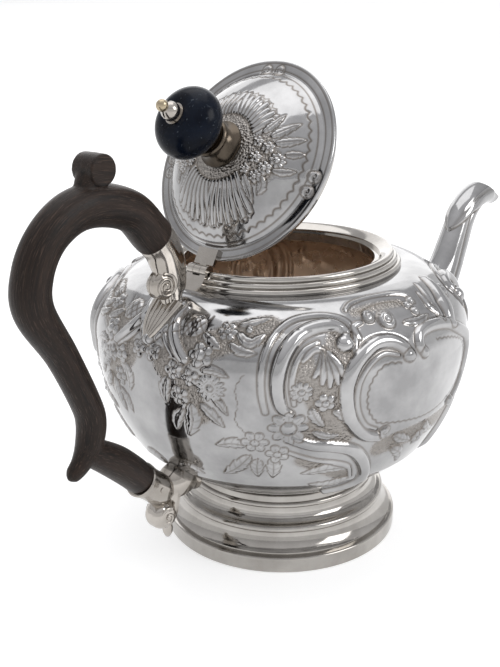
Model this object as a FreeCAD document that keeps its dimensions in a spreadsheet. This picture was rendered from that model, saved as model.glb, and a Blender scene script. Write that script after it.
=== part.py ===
import FreeCAD, Part
import math
import os
import re
import Sketcher

# Silver teapot with a hinged lid, a swan-neck spout and a wooden handle.
# Frame: +X towards the spout, +Z up, origin at the middle of the foot on the table. Millimetres.

os.makedirs("parts", exist_ok=True)
doc = FreeCAD.newDocument("teapot")
sheet = doc.addObject("Spreadsheet::Sheet", "sizes")

SIZES = {
    # foot band and spun foot
    "foot_radius": 46.0,
    "foot_band_width": 2.8,
    "foot_band_height": 6.2,
    "foot_band_round": 0.8,
    "foot_flare_radius": 44.2,
    "foot_flare_height": 7.4,
    "foot_bead_radius": 40.2,
    "foot_bead_height": 15.0,
    "foot_bead_size": 1.2,
    "foot_neck_radius": 36.0,
    "foot_neck_height": 20.6,
    "foot_reed_size": 1.1,
    "foot_height": 27.5,
    "foot_wall": 1.4,
    # raised body
    "body_wall": 1.2,
    "base_radius": 36.6,
    "bilge_radius": 57.5,
    "bilge_height": 42.0,
    "belly_radius": 70.2,
    "belly_height": 83.0,
    "shoulder_radius": 62.6,
    "shoulder_height": 99.8,
    "seat_radius": 45.6,
    "seat_height": 106.9,
    "neck_height": 108.4,
    "strainer_hole_radius": 1.6,
    "strainer_pitch": 5.4,
    "scroll_rise": 1.7,
    # reeded ring round the mouth
    "mouth_radius": 36.0,
    "rim_foot_radius": 45.4,
    "rim_crest_radius": 41.2,
    "rim_crest_height": 112.4,
    "rim_height": 110.4,
    "rim_reed_size": 0.5,
    "ledge_depth": 1.2,
    # spout
    "spout_root_x": 36.0,
    "spout_root_height": 47.5,
    "spout_root_slope": 8.0,
    "spout_root_run": 46.0,
    "spout_bend_radius": 57.0,
    "spout_neck_slope": 61.0,
    "spout_neck_run": 15.9,
    "spout_tip_bend_radius": 22.6,
    "spout_tip_slope": 22.0,
    "spout_root_half": 15.5,
    "spout_root_flatness": 0.68,
    "spout_neck_half": 7.2,
    "spout_tip_half": 5.0,
    "spout_wall": 1.0,
    "spout_lip_slope": 34.0,
    # wooden handle
    "handle_top_x": 61.7,
    "handle_top_height": 127.2,
    "handle_top_slope": 45.0,
    "handle_thickness": 12.9,
    "handle_waist_thickness": 10.2,
    "crest_x": 72.9,
    "crest_height": 138.7,
    "crest_heading": 146.0,
    "bow_x": 90.5,
    "bow_height": 119.8,
    "bow_radius": 23.3,
    "waist_x": 104.4,
    "waist_height": 98.9,
    "waist_heading": -60.5,
    "tail_x": 113.0,
    "tail_height": 73.0,
    "tail_radius": 18.2,
    "spur_thickness": 5.6,
    "arm_x": 73.3,
    "arm_height": 43.0,
    "arm_root_thickness": 10.8,
    "arm_thickness": 11.6,
    "thumb_x": 86.6,
    "thumb_height": 154.7,
    "thumb_radius": 4.9,
    "thumb_width": 9.4,
    "tenon_length": 9.0,
    "upper_tenon_radius": 3.6,
    "lower_tenon_radius": 4.4,
    # sockets and their cross pins
    "upper_socket_radius": 5.0,
    "socket_waist_x": 56.2,
    "socket_waist_height": 119.4,
    "socket_stem_x": 57.4,
    "socket_stem_height": 111.5,
    "socket_stem_thickness": 11.0,
    "socket_stem_flatness": 0.58,
    "socket_foot_height": 92.0,
    "socket_foot_thickness": 13.0,
    "volute_x": 60.0,
    "volute_height": 110.6,
    "volute_radius": 4.6,
    "volute_width": 7.0,
    "lower_socket_wall": 1.9,
    "lower_socket_length": 15.0,
    "strut_x": 63.0,
    "strut_length": 13.0,
    "strut_width": 9.0,
    "strut_foot_height": 30.5,
    "strut_top_height": 43.0,
    "scroll_x": 66.2,
    "scroll_height": 27.0,
    "scroll_radius": 5.0,
    "scroll_width": 8.4,
    "nub_radius": 1.9,
    "nub_height": 7.2,
    "nub_drop": 6.0,
    "pin_radius": 1.0,
    "pin_sink": 0.25,
    "fit_clearance": 0.05,
    # hinge
    "hinge_x": 42.2,
    "hinge_height": 112.7,
    "hinge_width": 9.0,
    "knuckle_radius": 2.0,
    "lid_knuckle_width": 3.0,
    "knuckle_gap": 0.15,
    "hinge_pin_radius": 0.8,
    "bracket_thickness": 1.8,
    "bracket_lean": 37.6,
    "bracket_reach": 13.0,
    "swing_clearance": 0.5,
    "leaf_thickness": 1.4,
    "leaf_reach": 33.7,
    # lid, modelled closed with its own zero on top of the mouth ring
    "lid_open_angle": 59.4,
    "lid_radius": 37.4,
    "lid_side_gap": 0.4,
    "lid_seat_gap": 0.3,
    "lid_edge": 1.2,
    "lid_wall": 1.1,
    "lid_border_radius": 33.0,
    "lid_dome_radius": 21.0,
    "lid_dome_height": 8.9,
    "crown_radius": 8.6,
    "crown_height": 12.7,
    "vent_radius": 0.8,
    "vent_offset": 13.0,
    "flute_start": 13.0,
    "flute_end": 22.5,
    "flute_rise": 0.75,
    "bezel_clearance": 1.0,
    "bezel_wall": 1.0,
    "bezel_depth": 5.0,
    # knob and what holds it
    "collar_height": 11.2,
    "collar_base_radius": 8.4,
    "collar_waist_radius": 5.4,
    "collar_ring_radius": 7.0,
    "collar_top_radius": 6.6,
    "knob_radius": 12.5,
    "knob_height": 14.0,
    "knob_top_radius": 4.2,
    "knob_washer_radius": 3.7,
    "knob_washer_thickness": 0.5,
    "nut_radius": 3.2,
    "nut_height": 4.7,
    "nut_slot_width": 0.7,
    "nut_slot_depth": 1.6,
    "ball_radius": 2.05,
    "ball_seat_radius": 1.6,
    "stud_radius": 1.2,
    "stud_engagement": 1.6,
    "bolt_head_radius": 3.6,
    "bolt_head_thickness": 1.5,
    "bolt_washer_radius": 5.2,
    "bolt_washer_thickness": 0.6,
}
for row, (alias, value) in enumerate(SIZES.items(), start=1):
    sheet.set("A%d" % row, alias.replace("_", " "))
    sheet.set("B%d" % row, str(value))
    sheet.setAlias("B%d" % row, alias)
doc.recompute()


def cells(text):
    """Turn the size names in a formula into references to the sheet."""
    return re.sub(r"[a-z_]+", lambda w: "sizes." + w.group() if w.group() in SIZES else w.group(), text)


def worth(text):
    """The present number behind a formula."""
    return float(sheet.evalExpression(cells(text)))


def bind(item, **formulas):
    for prop, text in formulas.items():
        item.setExpression(prop, cells(text))


def place(item, x="0", y="0", z="0", axis=(0, 1, 0), turn="0"):
    """Put an object at a point, turned about an axis, all bound to the sheet."""
    start = worth(turn)
    item.Placement = FreeCAD.Placement(FreeCAD.Vector(), FreeCAD.Rotation(FreeCAD.Vector(*axis), start or 1))
    for prop, text in (("Base.x", x), ("Base.y", y), ("Base.z", z), ("Rotation.Angle", turn)):
        item.setExpression("Placement." + prop, cells(text))
    return item


# Sketches


def plane_of(body, role):
    return next(f for f in body.Origin.OriginFeatures if f.Role == role)


def new_sketch(body, name, role="XZ_Plane", lift=None):
    sketch = body.newObject("Sketcher::SketchObject", name)
    sketch.AttachmentSupport = (plane_of(body, role), "")
    sketch.MapMode = "FlatFace"
    if lift:
        sketch.setExpression("AttachmentOffset.Base.z", cells(lift))
    return sketch


def hold(sketch, geo, pos, x, y):
    """Tie a point of the sketch to its two formulas, measured from the origin."""
    for kind, text in (("DistanceX", x), ("DistanceY", y)):
        value = worth(text)
        if value == 0:
            axis = -2 if kind == "DistanceX" else -1
            sketch.addConstraint(Sketcher.Constraint("PointOnObject", geo, pos, axis))
            continue
        ends = (-1, 1, geo, pos) if value > 0 else (geo, pos, -1, 1)
        index = sketch.addConstraint(Sketcher.Constraint(kind, *ends, abs(value)))
        sketch.setExpression("Constraints[%d]" % index, cells(text if value > 0 else "-(%s)" % text))


def outline(sketch, steps):
    """Closed outline. A step is (x, y) for a straight run or (via x, via y, x, y) for an arc."""
    ends = [step[-2:] for step in steps]
    spots = [FreeCAD.Vector(worth(x), worth(y), 0) for x, y in ends]
    edges = []
    for k, step in enumerate(steps):
        before, here = spots[k - 1], spots[k]
        if len(step) == 2:
            geo = sketch.addGeometry(Part.LineSegment(before, here))
            edges.append((geo, 1, 2))
            continue
        via = FreeCAD.Vector(worth(step[0]), worth(step[1]), 0)
        geo = sketch.addGeometry(Part.Arc(before, via, here))
        first = sketch.getPoint(geo, 1)
        edges.append((geo, 1, 2) if (first - before).Length < (first - here).Length else (geo, 2, 1))
        mark = sketch.addGeometry(Part.Point(via), True)
        hold(sketch, mark, 1, step[0], step[1])
        sketch.addConstraint(Sketcher.Constraint("PointOnObject", mark, 1, geo))
    for k, (geo, start, end) in enumerate(edges):
        after, after_start, _ = edges[(k + 1) % len(edges)]
        sketch.addConstraint(Sketcher.Constraint("Coincident", geo, end, after, after_start))
        hold(sketch, geo, end, *ends[k])


def ring(sketch, x, y, radius):
    """Circle at a formula point with a formula radius."""
    geo = sketch.addGeometry(Part.Circle(FreeCAD.Vector(worth(x), worth(y), 0), FreeCAD.Vector(0, 0, 1),
                                         worth(radius)))
    hold(sketch, geo, 3, x, y)
    index = sketch.addConstraint(Sketcher.Constraint("Radius", geo, worth(radius)))
    sketch.setExpression("Constraints[%d]" % index, cells(radius))


def turned(name, steps):
    """A piece turned on the lathe: an outline of (radius, height) steps revolved about Z."""
    body = doc.addObject("PartDesign::Body", name)
    sketch = new_sketch(body, name + "_profile")
    outline(sketch, steps)
    turning = body.newObject("PartDesign::Revolution", name + "_turning")
    turning.Profile = sketch
    turning.ReferenceAxis = (sketch, ["V_Axis"])
    turning.Angle = 360
    doc.recompute()
    return body


def pad(body, sketch, length):
    feature = body.newObject("PartDesign::Pad", sketch.Name + "_pad")
    feature.Profile = sketch
    feature.setExpression("Length", cells(length))
    return feature


def pocket(body, sketch, length, midplane=True, forward=False):
    """Cut through, and make sure that something was cut."""
    doc.recompute()
    before = body.Shape.Volume
    feature = body.newObject("PartDesign::Pocket", sketch.Name + "_cut")
    feature.Profile = sketch
    feature.setExpression("Length", cells(length))
    feature.Midplane = midplane
    feature.Reversed = forward
    doc.recompute()
    if body.Shape.Volume >= before:
        raise ValueError(sketch.Name + " cuts nothing")
    return feature


# Solids joined and cut


def cylinder_y(name, x, z, radius, width, y=None):
    """Round bar along Y, centred on y = 0 unless a start is given."""
    bar = doc.addObject("Part::Cylinder", name)
    bind(bar, Radius=radius, Height=width)
    return place(bar, x, y or "-(%s)/2" % width, z, axis=(-1, 0, 0), turn="90")


def bar_along(name, x, z, slope, radius, length):
    """Round bar from a point, heading down and towards +X by the slope."""
    bar = doc.addObject("Part::Cylinder", name)
    bind(bar, Radius=radius, Height=length)
    return place(bar, x, "0", z, turn="90 + %s" % slope)


def cut(name, base, *tools):
    """Take the tools out of the base, one after the other."""
    for k, tool in enumerate(tools):
        step = doc.addObject("Part::Cut", name if k == len(tools) - 1 else "%s_step%d" % (name, k))
        step.Base = base
        step.Tool = tool
        base = step
    return base


def fuse(name, *items):
    whole = doc.addObject("Part::MultiFuse", name)
    whole.Shapes = list(items)
    return whole


def station(name, x, z, heading, half, flatness="1"):
    """Oval section square to a heading in the XZ plane, half high and half * flatness wide."""
    oval = doc.addObject("Part::Ellipse", name)
    bind(oval, MajorRadius=half, MinorRadius="(%s) * (%s)" % (half, flatness))
    return place(oval, x, "0", z, turn="90 - (%s)" % heading)


def loft(name, stations):
    skin = doc.addObject("Part::Loft", name)
    skin.Sections = stations
    skin.Solid = True
    return skin


def blend(first, last, share):
    return "(%s + (%s - %s) * %s)" % (first, last, first, share)


# Foot: a solid band on the table and a spun foot standing on it.

band_top = "foot_band_height"
band_inside = "foot_radius - foot_band_width"
foot_rim = turned("foot_rim", [
    (band_inside, "0"),
    ("foot_radius - foot_band_round", "0"),
    ("foot_radius - foot_band_round * 0.3", "foot_band_round * 0.3", "foot_radius", "foot_band_round"),
    ("foot_radius", "foot_band_height - foot_band_round"),
    ("foot_radius - foot_band_round * 0.3", "foot_band_height - foot_band_round * 0.3",
     "foot_radius - foot_band_round", band_top),
    (band_inside, band_top),
])

bead_low = "foot_bead_height - foot_bead_size"
bead_high = "foot_bead_height + foot_bead_size"
reed_low = "foot_neck_height + foot_reed_size"
foot = turned("foot", [
    ("foot_flare_radius", band_top),
    ("foot_flare_radius", "foot_flare_height"),
    ("foot_bead_radius + (foot_flare_radius - foot_bead_radius) * 0.3",
     "foot_flare_height + (foot_bead_height - foot_bead_size - foot_flare_height) * 0.4",
     "foot_bead_radius", bead_low),
    ("foot_bead_radius + foot_bead_size * 0.8", "foot_bead_height", "foot_bead_radius", bead_high),
    ("foot_bead_radius - foot_bead_size", bead_high),
    ("foot_neck_radius + (foot_bead_radius - foot_neck_radius) * 0.2",
     "foot_bead_height + foot_bead_size + (foot_neck_height - foot_bead_height - foot_bead_size) * 0.35",
     "foot_neck_radius", "foot_neck_height"),
    ("foot_neck_radius", reed_low),
    ("foot_neck_radius + foot_reed_size", "foot_neck_height + foot_reed_size * 2",
     "foot_neck_radius", "foot_neck_height + foot_reed_size * 3"),
    ("foot_neck_radius", "foot_height"),
    ("foot_neck_radius - foot_wall", "foot_height"),
    ("foot_neck_radius - foot_wall", bead_high),
    ("foot_bead_radius - foot_wall", "foot_bead_height - foot_bead_size * 2"),
    ("foot_flare_radius - foot_wall", "foot_flare_height"),
    ("foot_flare_radius - foot_wall", band_top),
])

# Body: one raised shell. The full form is kept as a cutting block for what sits on the shell.

neck_radius = "mouth_radius + body_wall"
body_steps = [
    ("0", "foot_height"),
    ("base_radius", "foot_height"),
    (blend("base_radius", "bilge_radius", 0.52), "foot_height + (bilge_height - foot_height) * 0.44",
     "bilge_radius", "bilge_height"),
    (blend("bilge_radius", "belly_radius", 0.7), "bilge_height + (belly_height - bilge_height) * 0.44",
     "belly_radius", "belly_height"),
    ("belly_radius - (belly_radius - shoulder_radius) * 0.2",
     "belly_height + (shoulder_height - belly_height) * 0.58", "shoulder_radius", "shoulder_height"),
    (blend("shoulder_radius", "seat_radius", 0.47), "shoulder_height + (seat_height - shoulder_height) * 0.8",
     "seat_radius", "seat_height"),
    (neck_radius, "seat_height"),
    (neck_radius, "neck_height"),
    ("0", "neck_height"),
]
body_form = turned("body_form", body_steps)
plain_shell = turned("plain_shell", body_steps)
mouth_face = max(range(len(plain_shell.Shape.Faces)), key=lambda k: plain_shell.Shape.Faces[k].CenterOfMass.z)
solid_turning = plain_shell.Tip
hollow = plain_shell.newObject("PartDesign::Thickness", "body_hollow")
hollow.Base = (solid_turning, ["Face%d" % (mouth_face + 1)])
bind(hollow, Value="body_wall")
hollow.Reversed = True
doc.recompute()

strainer_height = "spout_root_height + (bilge_radius - spout_root_x) * tan(spout_root_slope)"
strainer = new_sketch(plain_shell, "strainer_holes", "YZ_Plane")
for row in range(-2, 3):
    for place_in_row in ((-1, 0, 1) if row % 2 else (-0.5, 0.5)):
        ring(strainer, "strainer_pitch * %s" % place_in_row,
             strainer_height + " + strainer_pitch * %d" % row, "strainer_hole_radius")
pocket(plain_shell, strainer, "belly_radius", midplane=False, forward=True)

# Chasing: the main scrolls stand out from the shell as round ridges. Each is an arc through three places
# given by an angle from the spout and a share of the way up the body, set out on one side and mirrored.

great_scroll = (-127, 0.905), (-138.5, 0.81), (-138.5, 0.64)
belly_scroll = (-135, 0.46), (-118, 0.38), (-111, 0.17)
shield_near = (-103, 0.81), (-122, 0.66), (-110, 0.43)
shield_far = (-77, 0.79), (-62, 0.65), (-72, 0.435)
shield_top = (-97, 0.79), (-90, 0.86), (-83, 0.83)
handle_scroll = (-171, 0.93), (-174, 0.87), (-167, 0.79)


def half_depth(form, wall):
    """The form shrunk to the middle of its wall, to take away what is below a ridge."""
    core = doc.addObject("Part::Offset", form.Name + "_core")
    core.Source = form
    bind(core, Value="-(%s) / 2" % wall)
    return core


def ridge(name, places, radius):
    """A round bar along the arc through three places."""
    first, middle, last = places
    circle = Part.Arc(first, middle, last).toShape().Curve
    out, axis = first - circle.Center, circle.Axis

    def turn_to(spot):
        arm = spot - circle.Center
        return math.degrees(math.atan2(axis.dot(out.cross(arm)), out.dot(arm))) % 360

    if turn_to(middle) > turn_to(last):
        axis = -axis
    bar = doc.addObject("Part::Torus", name)
    bar.Radius1 = circle.Radius
    bind(bar, Radius2=radius)
    bar.Angle3 = turn_to(last)
    bar.Placement = FreeCAD.Placement(circle.Center, FreeCAD.Rotation(out, FreeCAD.Vector(), axis, "ZXY"))
    return bar


def in_wall(angle, share):
    """Place inside the wall, at an angle from the spout and a share of the way up the body."""
    height = worth("foot_height + (seat_height - foot_height) * %s" % share)
    level = Part.makeLine(FreeCAD.Vector(0, 0, height), FreeCAD.Vector(0, worth("belly_radius * 2"), height))
    radius = level.common(hollow.Shape).BoundBox.YMin
    turn = math.radians(angle)
    return FreeCAD.Vector(radius * math.cos(turn), radius * math.sin(turn), height)


def scroll(name, spots):
    return ridge(name, [in_wall(*spot) for spot in spots], "body_wall + scroll_rise")


def mirrored(item, name, normal):
    twin = doc.addObject("Part::Mirroring", name)
    twin.Source = item
    twin.Normal = normal
    return twin


paired = [scroll("great_scroll", great_scroll), scroll("belly_scroll", belly_scroll)]
near_scrolls = paired + [mirrored(item, item.Name + "_front", (1, 0, 0)) for item in paired]
near_scrolls += [scroll("shield_near", shield_near), scroll("shield_far", shield_far),
                 scroll("shield_top", shield_top), scroll("handle_scroll", handle_scroll)]
scrolls = near_scrolls + [mirrored(item, item.Name + "_other_side", (0, 1, 0)) for item in near_scrolls]
body_core = half_depth(body_form, "body_wall")
body_shell = fuse("body_shell", plain_shell, *[cut(item.Name + "_raised", item, body_core) for item in scrolls])

# Mouth: a reeded ring soldered round the neck, with a ledge for the lid and a notch for the hinge.

reeds = 3
ledge = "rim_height - ledge_depth"
rebate_radius = "lid_radius + lid_side_gap"
rim_steps = [(neck_radius, "seat_height"), ("rim_foot_radius", "seat_height")]
for k in range(reeds):
    middle = (k + 0.5) / reeds
    rim_steps.append((
        blend("rim_foot_radius", "rim_crest_radius", middle) + " + rim_reed_size",
        blend("seat_height", "rim_crest_height", middle) + " + rim_reed_size",
        blend("rim_foot_radius", "rim_crest_radius", (k + 1) / reeds),
        blend("seat_height", "rim_crest_height", (k + 1) / reeds)))
mouth_rim = turned("mouth_rim", rim_steps + [
    (rebate_radius, "rim_height"),
    (rebate_radius, ledge),
    ("mouth_radius", ledge),
    ("mouth_radius", "neck_height"),
    (neck_radius, "neck_height"),
])
notch_floor = "hinge_height - knuckle_radius - swing_clearance"
notch = new_sketch(mouth_rim, "hinge_notch", "YZ_Plane")
outline(notch, [
    ("-hinge_width / 2 - swing_clearance", notch_floor),
    ("hinge_width / 2 + swing_clearance", notch_floor),
    ("hinge_width / 2 + swing_clearance", "hinge_height"),
    ("-hinge_width / 2 - swing_clearance", "hinge_height"),
])
pocket(mouth_rim, notch, "rim_foot_radius", midplane=False)

# Spout: a straight root, an upward bend, a straight neck and a tip that bends over.

root_end_x = "spout_root_x + spout_root_run * cos(spout_root_slope)"
root_end_z = "spout_root_height + spout_root_run * sin(spout_root_slope)"


def spout_bend(heading):
    return ("%s + spout_bend_radius * (sin(%s) - sin(spout_root_slope))" % (root_end_x, heading),
            "%s + spout_bend_radius * (cos(spout_root_slope) - cos(%s))" % (root_end_z, heading), heading)


bend_end_x, bend_end_z, neck_heading = spout_bend("spout_neck_slope")
neck_end_x = bend_end_x + " + spout_neck_run * cos(spout_neck_slope)"
neck_end_z = bend_end_z + " + spout_neck_run * sin(spout_neck_slope)"


def spout_tip(heading):
    return ("%s + spout_tip_bend_radius * (sin(spout_neck_slope) - sin(%s))" % (neck_end_x, heading),
            "%s + spout_tip_bend_radius * (cos(%s) - cos(spout_neck_slope))" % (neck_end_z, heading), heading)


# Each stop is a place with its heading, the share of the way from root size to neck size and the
# share of the way from neck size to tip size.
spout_stops = [
    (("spout_root_x", "spout_root_height", "spout_root_slope"), 0, 0),
    ((root_end_x, root_end_z, "spout_root_slope"), 0.28, 0),
    (spout_bend(blend("spout_root_slope", "spout_neck_slope", 0.35)), 0.58, 0),
    (spout_bend(blend("spout_root_slope", "spout_neck_slope", 0.7)), 0.84, 0),
    (spout_bend("spout_neck_slope"), 1, 0),
    ((neck_end_x, neck_end_z, "spout_neck_slope"), 1, 0.35),
    (spout_tip(blend("spout_neck_slope", "-spout_tip_slope", 0.4)), 1, 0.6),
    (spout_tip(blend("spout_neck_slope", "-spout_tip_slope", 0.75)), 1, 0.7),
    (spout_tip("-spout_tip_slope"), 1, 1),
]


def spout_skin(name, inset):
    rings = []
    for k, (spot, root_share, tip_share) in enumerate(spout_stops):
        half = blend(blend("spout_root_half", "spout_neck_half", root_share), "spout_tip_half", tip_share)
        rings.append(station("%s_%d" % (name, k), *spot, "%s - %s" % (half, inset),
                             blend("spout_root_flatness", "1", root_share)))
    return loft(name, rings)


tip_x, tip_z, _ = spout_tip("-spout_tip_slope")
lip_trim = doc.addObject("Part::Box", "lip_trim")
bind(lip_trim, Length="spout_root_half * 2", Width="spout_root_half * 2", Height="spout_root_half")
lip_back = "spout_tip_half * 4"
place(lip_trim, "%s - %s * cos(spout_lip_slope)" % (tip_x, lip_back), "-spout_root_half",
      "%s - spout_tip_half * 0.3 + %s * sin(spout_lip_slope)" % (tip_z, lip_back), turn="spout_lip_slope")
spout = cut("spout", spout_skin("spout_outside", "0"), spout_skin("spout_bore", "spout_wall"),
            body_form, lip_trim)

# Handle: sawn and rounded wood. A round bow runs from the upper socket over the top and down to a
# waist, ends in a spur, and a short arm leads to the lower socket.

thick = "handle_thickness / 2"
waist = "handle_waist_thickness / 2"


def on_bow(angle):
    return ("-bow_x + bow_radius * cos(%s)" % angle, "bow_height + bow_radius * sin(%s)" % angle,
            "%s + 90" % angle)


def on_tail(angle):
    return ("-tail_x + tail_radius * cos(%s)" % angle, "tail_height + tail_radius * sin(%s)" % angle,
            "%s - 90" % angle)


handle_stops = [(("-handle_top_x", "handle_top_height", "180 - handle_top_slope"), thick)]
handle_stops += [(("-crest_x", "crest_height", "crest_heading"), thick)]
handle_stops += [(on_bow(angle), thick) for angle in (78, 106, 134, 162, 190)]
handle_stops += [(("-waist_x", "waist_height", "waist_heading"), blend(thick, waist, 0.8))]
handle_stops += [(on_tail(angle), waist) for angle in (25, 0)]
handle_stops += [(on_tail(-24), blend(waist, "spur_thickness / 2", 0.2))]
handle_stops += [(on_tail(-58), "spur_thickness / 2")]
handle_bow = loft("handle_bow", [station("bow_%d" % k, *spot, half)
                                 for k, (spot, half) in enumerate(handle_stops)])

arm_root_x, arm_root_z, _ = on_tail(-31)
arm_run = "(-arm_x - (%s))" % arm_root_x
arm_drop = "(%s - arm_height)" % arm_root_z
arm_slope = "(atan2(%s; %s) / 1 deg)" % (arm_drop, arm_run)
arm_length = "sqrt(%s ^ 2 + %s ^ 2)" % (arm_run, arm_drop)
arm = doc.addObject("Part::Cone", "handle_arm")
bind(arm, Radius1="arm_root_thickness / 2", Radius2="arm_thickness / 2", Height=arm_length)
place(arm, arm_root_x, "0", arm_root_z, turn="90 + " + arm_slope)

spur_x, spur_z, _ = on_tail(-58)
spur_tip = doc.addObject("Part::Sphere", "spur_tip")
bind(spur_tip, Radius="spur_thickness / 2")
place(spur_tip, spur_x, "0", spur_z)

thumb_scroll = cylinder_y("thumb_scroll", "-thumb_x", "thumb_height", "thumb_radius", "thumb_width")
thumb_neck = doc.addObject("Part::Box", "thumb_neck")
bind(thumb_neck, Length="thumb_radius * 1.4", Width="thumb_width", Height="thumb_height - bow_height - bow_radius")
place(thumb_neck, "-thumb_x - thumb_radius * 0.7", "-thumb_width / 2", "bow_height + bow_radius")

upper_tenon = bar_along("upper_tenon", "-handle_top_x", "handle_top_height", "handle_top_slope",
                        "upper_tenon_radius", "tenon_length")
lower_tenon = bar_along("lower_tenon", "-arm_x", "arm_height", arm_slope, "lower_tenon_radius", "tenon_length")
whole_handle = fuse("whole_handle", handle_bow, arm, spur_tip, thumb_scroll, thumb_neck, upper_tenon,
                    lower_tenon)

upper_pin_x = "-handle_top_x + tenon_length / 2 * cos(handle_top_slope)"
upper_pin_z = "handle_top_height - tenon_length / 2 * sin(handle_top_slope)"
lower_pin_x = "-arm_x + tenon_length / 2 * cos(%s)" % arm_slope
lower_pin_z = "arm_height - tenon_length / 2 * sin(%s)" % arm_slope
lower_socket_radius = "lower_tenon_radius + lower_socket_wall"
pin_hole = "pin_radius + fit_clearance"


def pin_drill(name, x, z):
    return cylinder_y(name, x, z, pin_hole, "handle_thickness * 2")


handle = cut("handle", whole_handle, pin_drill("upper_pin_drill", upper_pin_x, upper_pin_z),
             pin_drill("lower_pin_drill", lower_pin_x, lower_pin_z))
upper_socket_pin = cylinder_y("upper_socket_pin", upper_pin_x, upper_pin_z, "pin_radius",
                              "(upper_socket_radius - pin_sink) * 2")
lower_socket_pin = cylinder_y("lower_socket_pin", lower_pin_x, lower_pin_z, "pin_radius",
                              "(%s - pin_sink) * 2" % lower_socket_radius)

# Upper socket: a cast stem that stands on the shoulder, with a volute on its outer side.

upper_stem = loft("upper_stem", [
    station("stem_mouth", "-handle_top_x", "handle_top_height", "-handle_top_slope", "upper_socket_radius"),
    station("stem_waist", "-socket_waist_x", "socket_waist_height", "-(90 + handle_top_slope) / 2 - 14",
            blend("upper_socket_radius", "socket_stem_thickness / 2", 0.5), blend("1", "socket_stem_flatness", 0.5)),
    station("stem_middle", "-socket_stem_x", "socket_stem_height", "-90", "socket_stem_thickness / 2",
            "socket_stem_flatness"),
    station("stem_foot", "-socket_stem_x", "socket_foot_height", "-90", "socket_foot_thickness / 2",
            "socket_stem_flatness"),
])
upper_volute = cylinder_y("upper_volute", "-volute_x", "volute_height", "volute_radius", "volute_width")
upper_bore = bar_along("upper_bore", "-handle_top_x", "handle_top_height", "handle_top_slope",
                       "upper_tenon_radius + fit_clearance", "tenon_length + fit_clearance")
upper_socket = cut("upper_socket", fuse("upper_casting", upper_stem, upper_volute), upper_bore, body_form,
                   pin_drill("upper_socket_drill", upper_pin_x, upper_pin_z))

# Lower socket: a short tube on a strut under the belly, with a scroll and a nub below it.

lower_tube = bar_along("lower_tube", "-arm_x", "arm_height", arm_slope, lower_socket_radius,
                       "lower_socket_length")
strut = doc.addObject("Part::Box", "strut")
bind(strut, Length="strut_length", Width="strut_width", Height="strut_top_height - strut_foot_height")
place(strut, "-strut_x", "-strut_width / 2", "strut_foot_height")
lower_scroll = cylinder_y("lower_scroll", "-scroll_x", "scroll_height", "scroll_radius", "scroll_width")
scroll_nub = doc.addObject("Part::Ellipsoid", "scroll_nub")
bind(scroll_nub, Radius1="nub_height / 2", Radius2="nub_radius", Radius3="nub_radius")
place(scroll_nub, "-scroll_x + nub_drop / 2", "0", "scroll_height - nub_drop")
lower_bore = bar_along("lower_bore", "-arm_x", "arm_height", arm_slope,
                       "lower_tenon_radius + fit_clearance", "tenon_length + fit_clearance")
arm_room = bar_along("arm_room", arm_root_x, arm_root_z, arm_slope, "arm_thickness", arm_length)
lower_socket = cut("lower_socket", fuse("lower_casting", lower_tube, strut, lower_scroll, scroll_nub),
                   lower_bore, body_form, arm_room,
                   pin_drill("lower_socket_drill", lower_pin_x, lower_pin_z))

# Hinge: a leaning bracket on the shoulder carries two tubes; the lid's tube turns between them.

bracket_plate = doc.addObject("Part::Box", "bracket_plate")
bind(bracket_plate, Length="bracket_thickness", Width="hinge_width", Height="bracket_reach")
place(bracket_plate,
      "-hinge_x - bracket_reach * sin(bracket_lean) - bracket_thickness / 2 * cos(bracket_lean)",
      "-hinge_width / 2",
      "hinge_height - bracket_reach * cos(bracket_lean) + bracket_thickness / 2 * sin(bracket_lean)",
      turn="bracket_lean")
barrel_room = cylinder_y("barrel_room", "-hinge_x", "hinge_height", "knuckle_radius", "hinge_width * 2")
lid_room = cylinder_y("lid_room", "-hinge_x", "hinge_height", "knuckle_radius + swing_clearance",
                      "lid_knuckle_width + knuckle_gap * 2")
hinge_bracket = cut("hinge_bracket", bracket_plate, body_form, mouth_rim, barrel_room, lid_room)

knuckle_width = "(hinge_width - lid_knuckle_width) / 2 - knuckle_gap"
hinge_bore = "hinge_pin_radius + fit_clearance"
knuckles = []
for name, start in (("hinge_knuckle_near", "-hinge_width / 2"),
                    ("hinge_knuckle_far", "lid_knuckle_width / 2 + knuckle_gap")):
    tube = cylinder_y(name + "_tube", "-hinge_x", "hinge_height", "knuckle_radius", knuckle_width, start)
    bore = cylinder_y(name + "_bore", "-hinge_x", "hinge_height", hinge_bore, "hinge_width * 2")
    knuckles.append(cut(name, tube, bore))
hinge_pin = cylinder_y("hinge_pin", "-hinge_x", "hinge_height", "hinge_pin_radius", "hinge_width")


def on_lid(body):
    """Carry a piece from the closed lid to the open lid, turned about the hinge."""
    return place(body,
                 "-hinge_x + hinge_x * cos(lid_open_angle)"
                 " - (rim_height - hinge_height) * sin(lid_open_angle)",
                 "0",
                 "hinge_height + hinge_x * sin(lid_open_angle)"
                 " + (rim_height - hinge_height) * cos(lid_open_angle)",
                 axis=(0, -1, 0), turn="lid_open_angle")


axis_above_rim = "hinge_height - rim_height"
lid_hinge_knuckle = doc.addObject("PartDesign::Body", "lid_hinge_knuckle")
knuckle_end = new_sketch(lid_hinge_knuckle, "lid_knuckle_end")
ring(knuckle_end, "-hinge_x", axis_above_rim, "knuckle_radius")
ring(knuckle_end, "-hinge_x", axis_above_rim, hinge_bore)
pad(lid_hinge_knuckle, knuckle_end, "lid_knuckle_width").Midplane = True
on_lid(lid_hinge_knuckle)

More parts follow.
